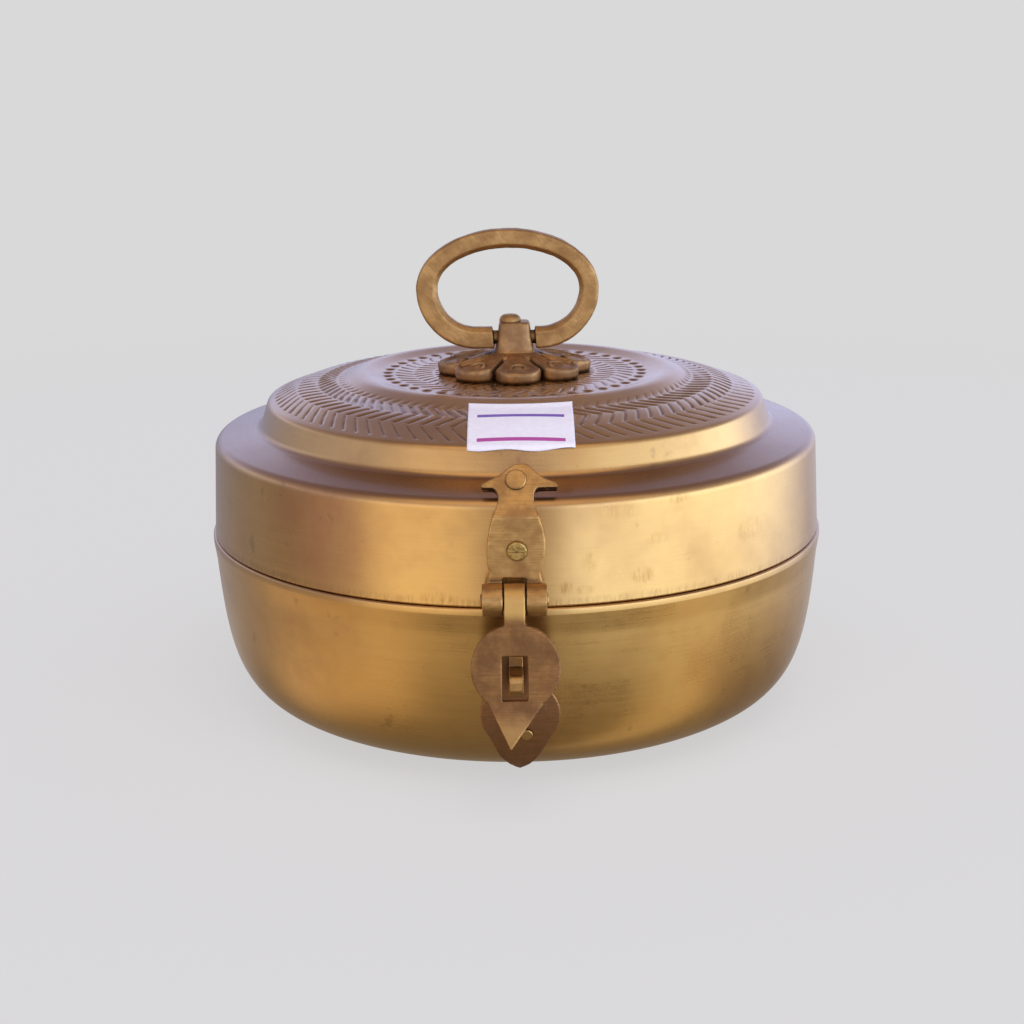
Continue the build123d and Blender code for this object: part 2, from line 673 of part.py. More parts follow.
def add_barrels(starts, web, bore_radius):
    """Barrels around the hinge's axis, each with a web to its leaf, bored for the pin."""
    for start in starts:
        with BuildSketch(Plane.YZ.offset(start)) as section:
            with Locations((HINGE_Y, HINGE_Z)):
                Circle(HINGE_BARREL_R)
            with BuildLine():
                rectangle_line(WEB_Y, web[0], HINGE_Y, web[1])
            make_face()
        extrude(section.sketch, amount=BARREL_W)
    with BuildSketch(Plane.YZ.offset(-HINGE_HALF_W - 1)) as bore:
        with Locations((HINGE_Y, HINGE_Z)):
            Circle(bore_radius)
    extrude(bore.sketch, amount=2 * HINGE_HALF_W + 2, mode=Mode.SUBTRACT)


def drill_rivets(height):
    with BuildSketch(Plane.XZ.offset(-120)) as holes:
        with Locations((-RIVET_X, height), (RIVET_X, height)):
            Circle(HINGE_RIVET_R + CONTACT)
    extrude(holes.sketch, amount=20, mode=Mode.SUBTRACT)


with BuildPart() as hinge_leaf_lid:
    add(wall_band(lid_outer_curve, CONTACT, CONTACT + LEAF_T))
    add(leaf_outline(*LID_LEAF), mode=Mode.INTERSECT)
    add_barrels(LID_BARRELS, LID_WEB, HINGE_PIN_R + RUNNING)
    drill_rivets(LID_RIVET_Z)
    add(lid_envelope, mode=Mode.SUBTRACT)
hinge_leaf_lid.part.label = "hinge_leaf_lid"

with BuildPart() as hinge_leaf_bowl:
    add(wall_band(bowl_outer_curve, CONTACT, CONTACT + LEAF_T))
    add(leaf_outline(*BOWL_LEAF), mode=Mode.INTERSECT)
    add_barrels(BOWL_BARRELS, BOWL_WEB, HINGE_PIN_R + CONTACT / 2)
    drill_rivets(BOWL_RIVET_Z)
    add(bowl_envelope, mode=Mode.SUBTRACT)
hinge_leaf_bowl.part.label = "hinge_leaf_bowl"

with BuildPart() as hinge_pin:
    with BuildSketch(Plane.YZ.offset(-HINGE_HALF_W - 0.8)):
        with Locations((HINGE_Y, HINGE_Z)):
            Circle(HINGE_PIN_R)
    extrude(amount=2 * HINGE_HALF_W + 1.6)
    chamfer(edges().filter_by(GeomType.CIRCLE), 0.4)
hinge_pin.part.label = "hinge_pin"


def rivet_pair(height, wall_radius):
    """Two domed rivets through a hinge leaf and the shell, each headed over inside."""
    with BuildPart(mode=Mode.PRIVATE) as pair:
        for x in (-RIVET_X, RIVET_X):
            out = (wall_radius**2 - x**2) ** 0.5
            foot = out + LEAF_T + HINGE_HEAD_LIFT
            rivet_plane = Plane(origin=(x, foot, height), x_dir=(-1, 0, 0), z_dir=(0, 1, 0))
            with BuildSketch(rivet_plane):
                Circle(HINGE_HEAD_R)
            extrude(amount=HINGE_HEAD_H)
            with BuildSketch(rivet_plane):
                Circle(HINGE_RIVET_R)
            extrude(amount=-(LEAF_T + SHEET + 1.6))
        fillet(faces().sort_by(Axis.Y)[-2:].edges(), 0.9)
    return pair.part


with BuildPart() as hinge_rivets_lid:
    add(rivet_pair(LID_RIVET_Z, LID_WALL_AT_RIVET))
hinge_rivets_lid.part.label = "hinge_rivets_lid"

with BuildPart() as hinge_rivets_bowl:
    add(rivet_pair(BOWL_RIVET_Z, BOWL_WALL_AT_RIVET))
hinge_rivets_bowl.part.label = "hinge_rivets_bowl"

# ---- write every piece ----
os.makedirs("parts", exist_ok=True)
export_step(bowl.part, "parts/bowl.step")
export_step(lid_shell.part, "parts/lid_shell.step")
export_step(handle_flower.part, "parts/handle_flower.step")
export_step(handle_ring.part, "parts/handle_ring.step")
export_step(handle_stud.part, "parts/handle_stud.step")
export_step(handle_washer.part, "parts/handle_washer.step")
export_step(handle_nut.part, "parts/handle_nut.step")
export_step(hasp_plate.part, "parts/hasp_plate.step")
export_step(hasp_plate_screw.part, "parts/hasp_plate_screw.step")
export_step(hasp_plate_washer.part, "parts/hasp_plate_washer.step")
export_step(hasp_plate_nut.part, "parts/hasp_plate_nut.step")
export_step(hasp_plate_rivet.part, "parts/hasp_plate_rivet.step")
export_step(hasp_pin.part, "parts/hasp_pin.step")
export_step(hasp.part, "parts/hasp.step")
export_step(staple_plate.part, "parts/staple_plate.step")
export_step(staple_eye.part, "parts/staple_eye.step")
export_step(staple_rivet.part, "parts/staple_rivet.step")
export_step(hinge_leaf_lid.part, "parts/hinge_leaf_lid.step")
export_step(hinge_leaf_bowl.part, "parts/hinge_leaf_bowl.step")
export_step(hinge_pin.part, "parts/hinge_pin.step")
export_step(hinge_rivets_lid.part, "parts/hinge_rivets_lid.step")
export_step(hinge_rivets_bowl.part, "parts/hinge_rivets_bowl.step")
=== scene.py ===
"""Looks of the brass food box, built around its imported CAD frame."""

import math

import bpy
import numpy as np
from mathutils import Matrix, Vector


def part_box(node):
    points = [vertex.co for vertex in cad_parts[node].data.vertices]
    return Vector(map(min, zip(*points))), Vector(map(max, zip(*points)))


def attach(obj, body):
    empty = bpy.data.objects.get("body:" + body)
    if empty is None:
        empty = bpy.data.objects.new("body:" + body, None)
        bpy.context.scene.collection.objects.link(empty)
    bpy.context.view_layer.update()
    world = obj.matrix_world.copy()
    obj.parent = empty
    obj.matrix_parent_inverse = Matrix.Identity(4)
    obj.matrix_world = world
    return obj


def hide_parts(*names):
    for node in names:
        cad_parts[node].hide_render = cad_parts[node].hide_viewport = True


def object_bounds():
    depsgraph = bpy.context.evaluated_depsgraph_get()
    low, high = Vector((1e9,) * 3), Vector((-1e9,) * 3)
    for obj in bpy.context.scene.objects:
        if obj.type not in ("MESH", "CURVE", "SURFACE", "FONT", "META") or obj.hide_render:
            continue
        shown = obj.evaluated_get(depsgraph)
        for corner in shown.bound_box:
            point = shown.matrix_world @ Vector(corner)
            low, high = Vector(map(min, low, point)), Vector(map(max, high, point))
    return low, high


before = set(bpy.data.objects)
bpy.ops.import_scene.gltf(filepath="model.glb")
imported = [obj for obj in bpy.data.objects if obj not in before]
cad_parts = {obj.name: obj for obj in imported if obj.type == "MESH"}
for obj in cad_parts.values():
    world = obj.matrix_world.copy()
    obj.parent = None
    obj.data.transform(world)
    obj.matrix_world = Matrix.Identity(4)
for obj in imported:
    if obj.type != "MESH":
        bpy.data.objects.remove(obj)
cad_low, cad_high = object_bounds()

MM = 0.001
SHEET = 1.2  # wall of the spun bowl and lid, in millimetres like every profile below

# Driving sizes of the spun shells, as the CAD has them: (radius, height) for a point of a profile.
BOWL_R = 109.6
BOWL_BASE_R = 62.0
LIP_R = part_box("bowl")[1].x / MM
LID_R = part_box("lid_shell")[1].x / MM
SEAM_Z = 63.0
LID_EDGE_Z = 63.3
NECK_R = 107.0
NECK_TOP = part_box("bowl")[1].z / MM
LID_CORNERS = [
    (LID_R, LID_EDGE_Z),
    (107.5, 96.7),
    (91.5, 100.1),
    (88.5, 109.2),
    (75.0, 114.0),
    (62.6, 115.7),
    (55.5, 118.6),
    (48.0, 116.9),
    (0.0, 116.9),
]
LID_BENDS = [3.5, 3.0, 2.2, 40.0, 10.0, 9.0, 12.0]
DISC_Z = 116.9
PLATEAU_R = 89.5  # the patterned top lies between these radii
PATTERN_INNER_R = 24.0
LINE_STEP = 0.5  # spacing of points along the straight stretches of the lid's profile

ROUND = 480  # segments around a plain ring
FINE = 3  # the patterned rings have this many times more


# ---------------------------------------------------------------- mesh helpers
def smooth_object(name, vertices, faces, values=None):
    """A new object from vertices in metres, shaded smooth. values is one number for each vertex."""
    mesh = bpy.data.meshes.new(name)
    mesh.from_pydata([tuple(v) for v in vertices], [], faces)
    mesh.validate()
    if values is not None:
        attribute = mesh.attributes.new("relief", "FLOAT", "POINT")
        attribute.data.foreach_set("value", np.asarray(values, np.float32))
    mesh.shade_smooth()
    mesh.update()
    made = bpy.data.objects.new(name, mesh)
    bpy.context.scene.collection.objects.link(made)
    return made


def filleted(corners, radii, line_step, arc_step=0.35):
    """Points along a polyline whose inner corners are rounded with these radii."""
    corners = [np.array(c, float) for c in corners]
    stops = [corners[0]]
    arcs = []
    for before, at, after, radius in zip(corners, corners[1:], corners[2:], radii):
        back = (before - at) / np.linalg.norm(before - at)
        on = (after - at) / np.linalg.norm(after - at)
        turn = math.pi - math.acos(np.clip(back @ on, -1, 1))
        reach = radius * math.tan(turn / 2)
        middle = back + on
        centre = at + middle / np.linalg.norm(middle) * radius / math.cos(turn / 2)
        start, end = at + back * reach, at + on * reach
        count = max(3, int(radius * turn / arc_step))
        ray0, ray1 = start - centre, end - centre
        arc = []
        for i in range(count + 1):
            share = i / count
            weight0 = math.sin((1 - share) * turn) / math.sin(turn)
            weight1 = math.sin(share * turn) / math.sin(turn)
            arc.append(centre + ray0 * weight0 + ray1 * weight1)
        arcs.append(arc)
    path = []
    for arc in arcs:
        straight(path, stops[-1] if not path else path[-1], arc[0], line_step)
        path.extend(arc[1:])
    straight(path, path[-1], corners[-1], line_step)
    return path


def straight(path, start, end, step):
    """Adds points from start to end to a path, and start itself if the path is empty."""
    if not path:
        path.append(start)
    count = max(1, int(round(np.linalg.norm(end - start) / step)))
    for i in range(1, count + 1):
        path.append(start + (end - start) * i / count)


def offset_inwards(path, distance):
    """The same path moved to its left side, towards the inside of a shell."""
    points = np.array(path)
    ahead = np.gradient(points, axis=0)
    ahead /= np.linalg.norm(ahead, axis=1)[:, None]
    normal = np.stack([-ahead[:, 1], ahead[:, 0]], axis=1)
    return points + normal * distance


def revolve(name, loop, counts, relief=None):
    """Closed mesh from a closed loop of (radius, height), with counts[i] segments around point i.

    relief(radius, angle) gives the height to add where counts[i] is above ROUND.
    """
    rings = []
    vertices = []
    values = []
    for (radius, height), count in zip(loop, counts):
        if radius < 1e-6:
            rings.append([len(vertices)])
            vertices.append((0.0, 0.0, height * MM))
            values.append(0.0)
            continue
        angle = np.arange(count) * 2 * math.pi / count
        lift = np.zeros(count)
        if relief is not None and count > ROUND:
            lift = relief(radius, angle)
        rings.append(list(range(len(vertices), len(vertices) + count)))
        x, y, z = radius * np.sin(angle), -radius * np.cos(angle), height + lift
        vertices.extend(np.stack([x, y, z], axis=1) * MM)
        values.extend(lift)
    faces = []
    for i, ring in enumerate(rings):
        bridge(faces, ring, rings[(i + 1) % len(rings)])
    return smooth_object(name, vertices, faces, values)


def bridge(faces, a, b):
    """Faces between two rings that have the same count, a whole multiple of it, or one vertex."""
    if len(a) == 1 and len(b) == 1:
        return
    if len(a) == 1:
        faces.extend((a[0], b[i], b[(i + 1) % len(b)]) for i in range(len(b)))
    elif len(b) == 1:
        faces.extend((a[(i + 1) % len(a)], a[i], b[0]) for i in range(len(a)))
    elif len(a) <= len(b):
        times = len(b) // len(a)
        for i in range(len(a)):
            far = [b[(i * times + k) % len(b)] for k in range(times + 1)]
            faces.append((a[(i + 1) % len(a)], a[i], *far))
    else:
        times = len(a) // len(b)
        for i in range(len(b)):
            near = [a[(i * times + k) % len(a)] for k in range(times, -1, -1)]
            faces.append((*near, b[i], b[(i + 1) % len(b)]))


# ---------------------------------------------------------------- punched pattern of the lid
STROKES = 94
# radius from, radius to, and how far each stroke leans around, in degrees
BAND_ROWS = [(60.8, 63.2, -2.0), (63.9, 70.4, 5.6), (71.0, 77.6, -3.4), (78.3, 85.6, 5.0)]
BAND_DEPTH = [0.22, 0.50, 0.40, 0.34]
BAND_WIDTH = [0.50, 0.72, 0.60, 0.42]
INNER_STROKES = 52
INNER_ROWS = [(29.5, 36.0, 6.0), (36.6, 42.6, -6.5)]
INNER_DEPTH = 0.32
INNER_WIDTH = 0.48
DASHES = 44
DASH_ROW = (25.5, 28.6, 0.0)
DASH_DEPTH = 0.35
DASH_WIDTH = 0.7
DOTS = 44
DOT_AT = 45.6
DOT_R = 1.55
DOT_DEPTH = 0.75


def stroke_row(radius, angle, row, count, shift, depth, width):
    """Grooves of one row of slanting strokes."""
    low, high, lean = row
    if not low - 1.5 < radius < high + 1.5:
        return np.zeros_like(angle)
    pitch = 2 * math.pi / count
    share = (radius - low) / (high - low)
    line = shift + math.radians(lean) * share
    away = (angle - line + pitch / 2) % pitch - pitch / 2
    slant = radius * math.radians(lean) / (high - low)
    across = away * radius / math.sqrt(1 + slant * slant)
    fade = np.clip(min(radius - low, high - radius) / 0.9 + 0.5, 0, 1)
    wobble = 1 + 0.25 * np.sin(angle * 17 + radius) * np.sin(angle * 5)
    deeper = 0.7 + 0.6 * np.clip(share, 0, 1)
    return -depth * deeper * fade * wobble * np.exp(-((across / width) ** 2))


def lid_relief(radius, angle):
    """Height that the punched pattern adds at a radius, in millimetres."""
    height = np.zeros_like(angle)
    shift = 0.0
    for row, depth, width in zip(BAND_ROWS, BAND_DEPTH, BAND_WIDTH):
        height += stroke_row(radius, angle, row, STROKES, shift, depth, width)
        shift += math.radians(row[2])
    shift = 0.0
    for row in INNER_ROWS:
        height += stroke_row(radius, angle, row, INNER_STROKES, shift, INNER_DEPTH, INNER_WIDTH)
        shift += math.radians(row[2])
    height += stroke_row(radius, angle, DASH_ROW, DASHES, 0.02, DASH_DEPTH, DASH_WIDTH)
    if abs(radius - DOT_AT) < 2.5 * DOT_R:
        pitch = 2 * math.pi / DOTS
        away = ((angle + pitch / 2) % pitch - pitch / 2) * radius
        squared = (away**2 + (radius - DOT_AT) ** 2) / DOT_R**2
        height -= DOT_DEPTH * np.exp(-(squared**1.5))
    return height


def make_lid():
    """Spun lid, with the punched pattern raised from its profile."""
    outer = filleted(LID_CORNERS, LID_BENDS, LINE_STEP)
    inner = offset_inwards(outer, SHEET)[::-1]
    inner[0] = (0.0, DISC_Z - SHEET)
    every_third = inner[::3]
    loop = [*outer, *every_third, inner[-1]]
    counts = [ROUND * FINE if PATTERN_INNER_R < point[0] < PLATEAU_R else ROUND for point in outer]
    counts += [ROUND] * (len(loop) - len(outer))
    return revolve("lid_skin", loop, counts, lid_relief)


BASE_REACH = 42.0  # how far the flat base leads the curve of the side outwards
SIDE_POINT = (3.4, 12.0)  # how far inside the bowl's radius, and how high, the curve is drawn to
LIP_BLEND = 7.0  # the side of the bowl widens to its lip over this height
LIP_H = 2.2
LIP_BENDS = [1.5, 0.7, 0.5, 0.5, 0.5, 1.2]


def bowl_curve(grow, count=90):
    """Bottom and side of the bowl from its axis to the lip, moved out by grow."""
    points = [np.array((r, -grow)) for r in np.linspace(0, BOWL_BASE_R, 16)[:-1]]
    hold = [
        (BOWL_BASE_R, -grow),
        (BOWL_BASE_R + BASE_REACH + grow, -grow),
        (BOWL_R - SIDE_POINT[0] + grow, SIDE_POINT[1]),
        (BOWL_R + grow, SEAM_Z - 2),
    ]
    for t in np.linspace(0, 1, count):
        weights = ((1 - t) ** 3, 3 * t * (1 - t) ** 2, 3 * t * t * (1 - t), t**3)
        points.append(sum(w * np.array(p) for w, p in zip(weights, hold)))
    return points


def make_bowl():
    """Spun bowl with its lip and the neck inside the lid."""
    outer = [point for point in bowl_curve(0.0) if point[1] < SEAM_Z - LIP_BLEND]
    inner = bowl_curve(-SHEET)[::-1]
    rim = filleted(
        [
            outer[-1],
            (LIP_R, SEAM_Z - LIP_H),
            (LIP_R, SEAM_Z),
            (NECK_R, SEAM_Z),
            (NECK_R, NECK_TOP),
            (NECK_R - SHEET, NECK_TOP),
            (NECK_R - SHEET, SEAM_Z - 0.8),
            inner[0],
        ],
        LIP_BENDS,
        line_step=1.0,
        arc_step=0.15,
    )
    loop = [*outer, *rim[1:-1], *inner]
    return revolve("bowl_skin", loop, [ROUND] * len(loop))


# ---------------------------------------------------------------- cast pieces
VOXEL = 0.28 * MM


def baked(source, name):
    """A new object with source's shape after its modifiers."""
    graph = bpy.context.evaluated_depsgraph_get()
    mesh = bpy.data.meshes.new_from_object(source.evaluated_get(graph))
    made = bpy.data.objects.new(name, mesh)
    bpy.context.scene.collection.objects.link(made)
    return made


def cast_from(source, name, rounds, rough, seed):
    """Sand-cast version of a solid: rounds of smoothing for soft edges, and a skin uneven by rough."""
    work = baked(source, name + "_work")
    mesh_step = work.modifiers.new("mesh_step", "REMESH")
    mesh_step.mode = "VOXEL"
    mesh_step.voxel_size = VOXEL
    soften = work.modifiers.new("soften", "SMOOTH")
    soften.factor = 0.5
    soften.iterations = rounds
    made = baked(work, name)
    bpy.data.objects.remove(work)
    uneven(made.data, rough, seed)
    made.data.shade_smooth()
    return made


def uneven(mesh, height, seed):
    """Moves each vertex along its normal by a smooth, repeatable wave field."""
    count = len(mesh.vertices)
    points = np.zeros(count * 3)
    mesh.vertices.foreach_get("co", points)
    points = points.reshape(-1, 3)
    normals = np.zeros(count * 3, np.float32)
    mesh.vertex_normals.foreach_get("vector", normals)
    normals = normals.reshape(-1, 3)
    rng = np.random.default_rng(int(seed * 10) + 3)
    field = np.zeros(count)
    for size in (9.0, 5.0, 2.8, 1.6):
        for _ in range(5):
            direction = rng.normal(size=3)
            direction /= np.linalg.norm(direction)
            phase = rng.uniform(0, 2 * math.pi)
            field += size / 9 * np.sin(points @ direction / (size * MM) * 2 * math.pi + phase)
    moved = points + normals * (field / 4 * height * MM)[:, None]
    mesh.vertices.foreach_set("co", moved.ravel())
    mesh.update()


# ---------------------------------------------------------------- flower base of the handle
PETALS = 8
PETAL_AT = 19.5
PETAL_R = 8.0
FLOWER_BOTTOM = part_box("handle_flower")[0].z / MM
FLOWER_TURN = math.radians(3.5)
FLOWER_ROUGH = 0.06
FLOWER_TOP = (7.5, 124.3)
FLOWER_TIP = (27.5, 120.9)
GROOVE_DEPTH = 2.0  # groove between two petals
GROOVE_WIDTH = 0.85
DISH_DEPTH = 0.85  # hollow inside a petal's rim
RIM_WIDTH = 1.5
BEVEL = 0.7
CRESCENT_AT = 19.6  # raised mark near a petal's tip
CRESCENT_R = 2.6
CRESCENT_HEIGHT = 0.85
BOSS_R = 1.3
BOSS_HEIGHT = 0.5
# height of the petals' edge, and how far it is drawn in there
PETAL_EDGE = ((119.6, 0.0), (118.3, 0.1), (FLOWER_BOTTOM + 0.3, 0.35), (FLOWER_BOTTOM, 0.7))
POST_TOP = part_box("handle_flower")[1].z / MM
POST_X = 0.1
# height, and half the width across X and Y
POST_LEVELS = [
    (122.0, 11.0, 10.4),
    (123.6, 9.3, 8.8),
    (124.2, 8.0, 7.6),
    (124.6, 7.1, 6.8),
    (125.4, 6.75, 6.3),
    (128.6, 6.15, 5.6),
    (132.0, 5.8, 5.2),
    (POST_TOP - 0.9, 5.55, 4.95),
    (POST_TOP - 0.3, 5.3, 4.7),
    (POST_TOP, 4.9, 4.3),
]
SQUARENESS = 0.4  # 1 would make the post round and 0 square
PIVOT_Z = 129.4
STUB_HOLE_R = 2.5
STUB_HOLE_FROM = 2.6  # how near the holes come to the post's axis
STUB_HOLE_DEPTH = 8.0


def petal_top(share, angle):
    """Radius and height of the petals' upper surface at a share of the way to the outline."""
    half = math.pi / PETALS
    off = (angle - FLOWER_TURN + half) % (2 * half) - half
    sideways = PETAL_AT * np.sin(off)
    outline = PETAL_AT * np.cos(off) + np.sqrt(PETAL_R**2 - sideways**2)
    radius = share * outline
    slope = (FLOWER_TOP[1] - FLOWER_TIP[1]) / (FLOWER_TIP[0] - FLOWER_TOP[0])
    height = FLOWER_TOP[1] - slope * np.clip(radius - FLOWER_TOP[0], 0, None)
    seam = radius * np.sin(half - np.abs(off))
    edge = np.minimum(seam, outline - radius)
    groove = GROOVE_DEPTH * np.exp(-((seam / GROOVE_WIDTH) ** 2)) * np.clip((radius - 7.0) / 4, 0, 1)
    dish = DISH_DEPTH * np.clip((edge - RIM_WIDTH) / 0.9, 0, 1) * np.clip((radius - 10) / 5, 0, 1)
    bevel = BEVEL * np.clip(1 - (outline - radius) / BEVEL, 0, 1) ** 2
    along, across = radius * np.cos(off) - CRESCENT_AT, radius * np.sin(off)
    reach = np.sqrt((along / 0.95) ** 2 + across**2)
    arch = np.clip((1.4 - along) / 1.5, 0, 1)
    crescent = CRESCENT_HEIGHT * np.exp(-(((reach - CRESCENT_R) / 0.45) ** 4)) * arch
    boss = BOSS_HEIGHT * np.exp(-((reach / BOSS_R) ** 4))
    return radius, height - groove - dish - bevel + crescent + boss


def make_flower():
    """Flower base of the handle: eight petals joined to the post, and drilled for the ring."""
    around, steps = 960, 110
    angle = np.arange(around) * 2 * math.pi / around
    vertices = [(0.0, 0.0, FLOWER_TOP[1] * MM)]
    rings = [[0]]
    for step in range(1, steps + 1):
        radius, height = petal_top(np.full(around, step / steps), angle)
        rings.append(list(range(len(vertices), len(vertices) + around)))
        vertices.extend(np.stack([radius * np.sin(angle), -radius * np.cos(angle), height], axis=1) * MM)
    outline = petal_top(np.ones(around), angle)[0]
    for height, pull in PETAL_EDGE:
        edge = outline - pull
        rings.append(list(range(len(vertices), len(vertices) + around)))
        vertices.extend(
            np.stack([edge * np.sin(angle), -edge * np.cos(angle), np.full(around, height)], axis=1) * MM
        )
    rings.append([len(vertices)])
    vertices.append((0.0, 0.0, FLOWER_BOTTOM * MM))
    faces = []
    for a, b in zip(rings, rings[1:]):
        bridge(faces, b, a)
    petals = smooth_object("petals_work", vertices, faces)
    post = make_post()
    join = petals.modifiers.new("join", "BOOLEAN")
    join.operation = "UNION"
    join.object = post
    solid = baked(petals, "flower_whole")
    uneven(solid.data, FLOWER_ROUGH, 1.0)
    bpy.data.objects.remove(petals)
    bpy.data.objects.remove(post)
    return drilled(solid, "flower_base")


def make_post():
    """Tapered square post with round corners that spreads a little at its foot."""
    vertices = []
    fine = []
    for (z0, x0, y0), (z1, x1, y1) in zip(POST_LEVELS, POST_LEVELS[1:]):
        for step in range(6):
            share = step / 6
            fine.append((z0 + (z1 - z0) * share, x0 + (x1 - x0) * share, y0 + (y1 - y0) * share))
    fine.append(POST_LEVELS[-1])
    count = 128
    for height, half_x, half_y in fine:
        for i in range(count):
            turn = 2 * math.pi * i / count
            c, s = math.cos(turn), math.sin(turn)
            x = POST_X + half_x * math.copysign(abs(c) ** SQUARENESS, c)
            y = half_y * math.copysign(abs(s) ** SQUARENESS, s)
            vertices.append((x * MM, y * MM, height * MM))
    faces = [tuple(range(count))[::-1], tuple(range((len(fine) - 1) * count, len(fine) * count))]
    for level in range(len(fine) - 1):
        for i in range(count):
            a, b = level * count + i, level * count + (i + 1) % count
            faces.append((a, b, b + count, a + count))
    return smooth_object("post_work", vertices, faces)


def drilled(source, name):
    """source with the two blind cross holes that the ring's stubs turn in."""
    cutters = []
    for side in (-1, 1):
        bpy.ops.mesh.primitive_cylinder_add(
            vertices=48,
            radius=STUB_HOLE_R * MM,
            depth=STUB_HOLE_DEPTH * MM,
            location=(side * (STUB_HOLE_FROM + STUB_HOLE_DEPTH / 2) * MM, 0, PIVOT_Z * MM),
            rotation=(0, math.pi / 2, 0),
        )
        cutter = bpy.context.object
        cut = source.modifiers.new("hole", "BOOLEAN")
        cut.operation = "DIFFERENCE"
        cut.object = cutter
        cutters.append(cutter)
    made = baked(source, name)
    for used in (*cutters, source):
        bpy.data.objects.remove(used)
    made.data.shade_smooth()
    return made


# ---------------------------------------------------------------- plain paper label
LABEL_X = (-15.2, 18.8)
LABEL_TOP_R = 59.8
LABEL_LOW_Z = 107.9
LABEL_LIFT = 0.22
LABEL_T = 0.12
LABEL_BOW = 0.25  # how far it stands off in the middle, and at its curled lower edge
LABEL_CURL = 0.5
LABEL_WAVE = 0.35  # how far its lower edge runs up and down


def make_label():
    """Thin blank sticker from the dome's band over its edge, a little wavy along the bottom."""
    outer = np.array(filleted(LID_CORNERS, LID_BENDS, LINE_STEP))[::-1]
    below = (outer[:, 1] < LABEL_LOW_Z) & (outer[:, 0] > LABEL_TOP_R)
    path = outer[: int(np.argmax(below)) + 1]
    walked = np.concatenate([[0], np.cumsum(np.linalg.norm(np.diff(path, axis=0), axis=1))])
    columns, rows = 60, 90
    start = np.interp(LABEL_TOP_R, path[:, 0], walked)
    vertices = []
    for layer in (0.0, LABEL_T):
        for j in range(rows + 1):
            for i in range(columns + 1):
                x = LABEL_X[0] + (LABEL_X[1] - LABEL_X[0]) * i / columns
                low = walked[-1] - 0.4 + LABEL_WAVE * math.sin(i * 0.19 + 0.6)
                along = start + (low - start) * j / rows
                radius = np.interp(along, walked, path[:, 0])
                height = np.interp(along, walked, path[:, 1])
                bow = LABEL_BOW * math.sin(math.pi * min(1.0, (along - start) / 16)) ** 2
                lifted = max(0.0, (j / rows - 0.85) / 0.15) ** 2
                curl = LABEL_CURL * lifted * (0.6 + 0.4 * math.sin(i * 0.25))
                steep = np.interp(along, walked, np.gradient(path[:, 1], walked))
                off = LABEL_LIFT + layer + bow + curl
                radius -= off * steep
                height += off * math.sqrt(max(0.0, 1 - steep * steep))
                y = -math.sqrt(radius**2 - x * x)
                vertices.append((x * MM, y * MM, height * MM))
    wide = columns + 1
    layer_size = wide * (rows + 1)
    faces = []
    for j in range(rows):
        for i in range(columns):
            a = j * wide + i
            faces.append((a, a + 1, a + wide + 1, a + wide))
            faces.append(tuple(v + layer_size for v in (a, a + wide, a + wide + 1, a + 1)))
    border = [*range(columns), *range(columns, layer_size - 1, wide)]
    border += [*range(layer_size - 1, layer_size - wide, -1), *range(layer_size - wide, 0, -wide)]
    for a, b in zip(border, [*border[1:], border[0]]):
        faces.append((b, a, a + layer_size, b + layer_size))
    return smooth_object("paper_label", vertices, faces)


# ---------------------------------------------------------------- materials
class Nodes:
    """Short names for building one material's nodes."""

    def __init__(self, name):
        self.material = bpy.data.materials.new(name)
        self.material.use_nodes = True
        self.tree = self.material.node_tree
        self.shader = self.tree.nodes["Principled BSDF"]
        self.coords = self.tree.nodes.new("ShaderNodeTexCoord")

    def link(self, source, target):
        self.tree.links.new(source, target)

    def feed(self, value, socket):
        if isinstance(value, bpy.types.NodeSocket):
            self.link(value, socket)
        else:
            socket.default_value = value

    def math(self, operation, a, b=0.0):
        node = self.tree.nodes.new("ShaderNodeMath")
        node.operation = operation
        self.feed(a, node.inputs[0])
        self.feed(b, node.inputs[1])
        return node.outputs[0]

    def vector(self, operation, a, b=None, scale=None):
        node = self.tree.nodes.new("ShaderNodeVectorMath")
        node.operation = operation
        self.feed(a, node.inputs[0])
        if b is not None:
            self.feed(b, node.inputs[1])
        if scale is not None:
            self.feed(scale, node.inputs["Scale"])
        return node.outputs["Value" if operation == "LENGTH" else "Vector"]

    def noise(self, vector, scale, detail=3.0, roughness=0.5):
        node = self.tree.nodes.new("ShaderNodeTexNoise")
        self.link(vector, node.inputs["Vector"])
        node.inputs["Scale"].default_value = scale
        node.inputs["Detail"].default_value = detail
        node.inputs["Roughness"].default_value = roughness
        return node.outputs["Fac"]

    def ramp(self, value, low, high, to_low=0.0, to_high=1.0):
        """Smooth step from to_low, where value is at low, to to_high."""
        node = self.tree.nodes.new("ShaderNodeMapRange")
        node.interpolation_type = "SMOOTHSTEP"
        self.feed(value, node.inputs["Value"])
        node.inputs["From Min"].default_value = low
        node.inputs["From Max"].default_value = high
        node.inputs["To Min"].default_value = to_low
        node.inputs["To Max"].default_value = to_high
        return node.outputs["Result"]

    def mix(self, factor, a, b):
        node = self.tree.nodes.new("ShaderNodeMix")
        node.data_type = "RGBA"
        self.feed(factor, node.inputs["Factor"])
        self.feed(a, node.inputs[6])
        self.feed(b, node.inputs[7])
        return node.outputs[2]

    def bump(self, height, distance, strength=1.0, normal=None):
        node = self.tree.nodes.new("ShaderNodeBump")
        node.inputs["Strength"].default_value = strength
        node.inputs["Distance"].default_value = distance
        self.link(height, node.inputs["Height"])
        if normal is not None:
            self.link(normal, node.inputs["Normal"])
        return node.outputs["Normal"]

    def xyz(self, vector):
        """The three components of a vector."""
        node = self.tree.nodes.new("ShaderNodeSeparateXYZ")
        self.link(vector, node.inputs[0])
        return node.outputs["X"], node.outputs["Y"], node.outputs["Z"]


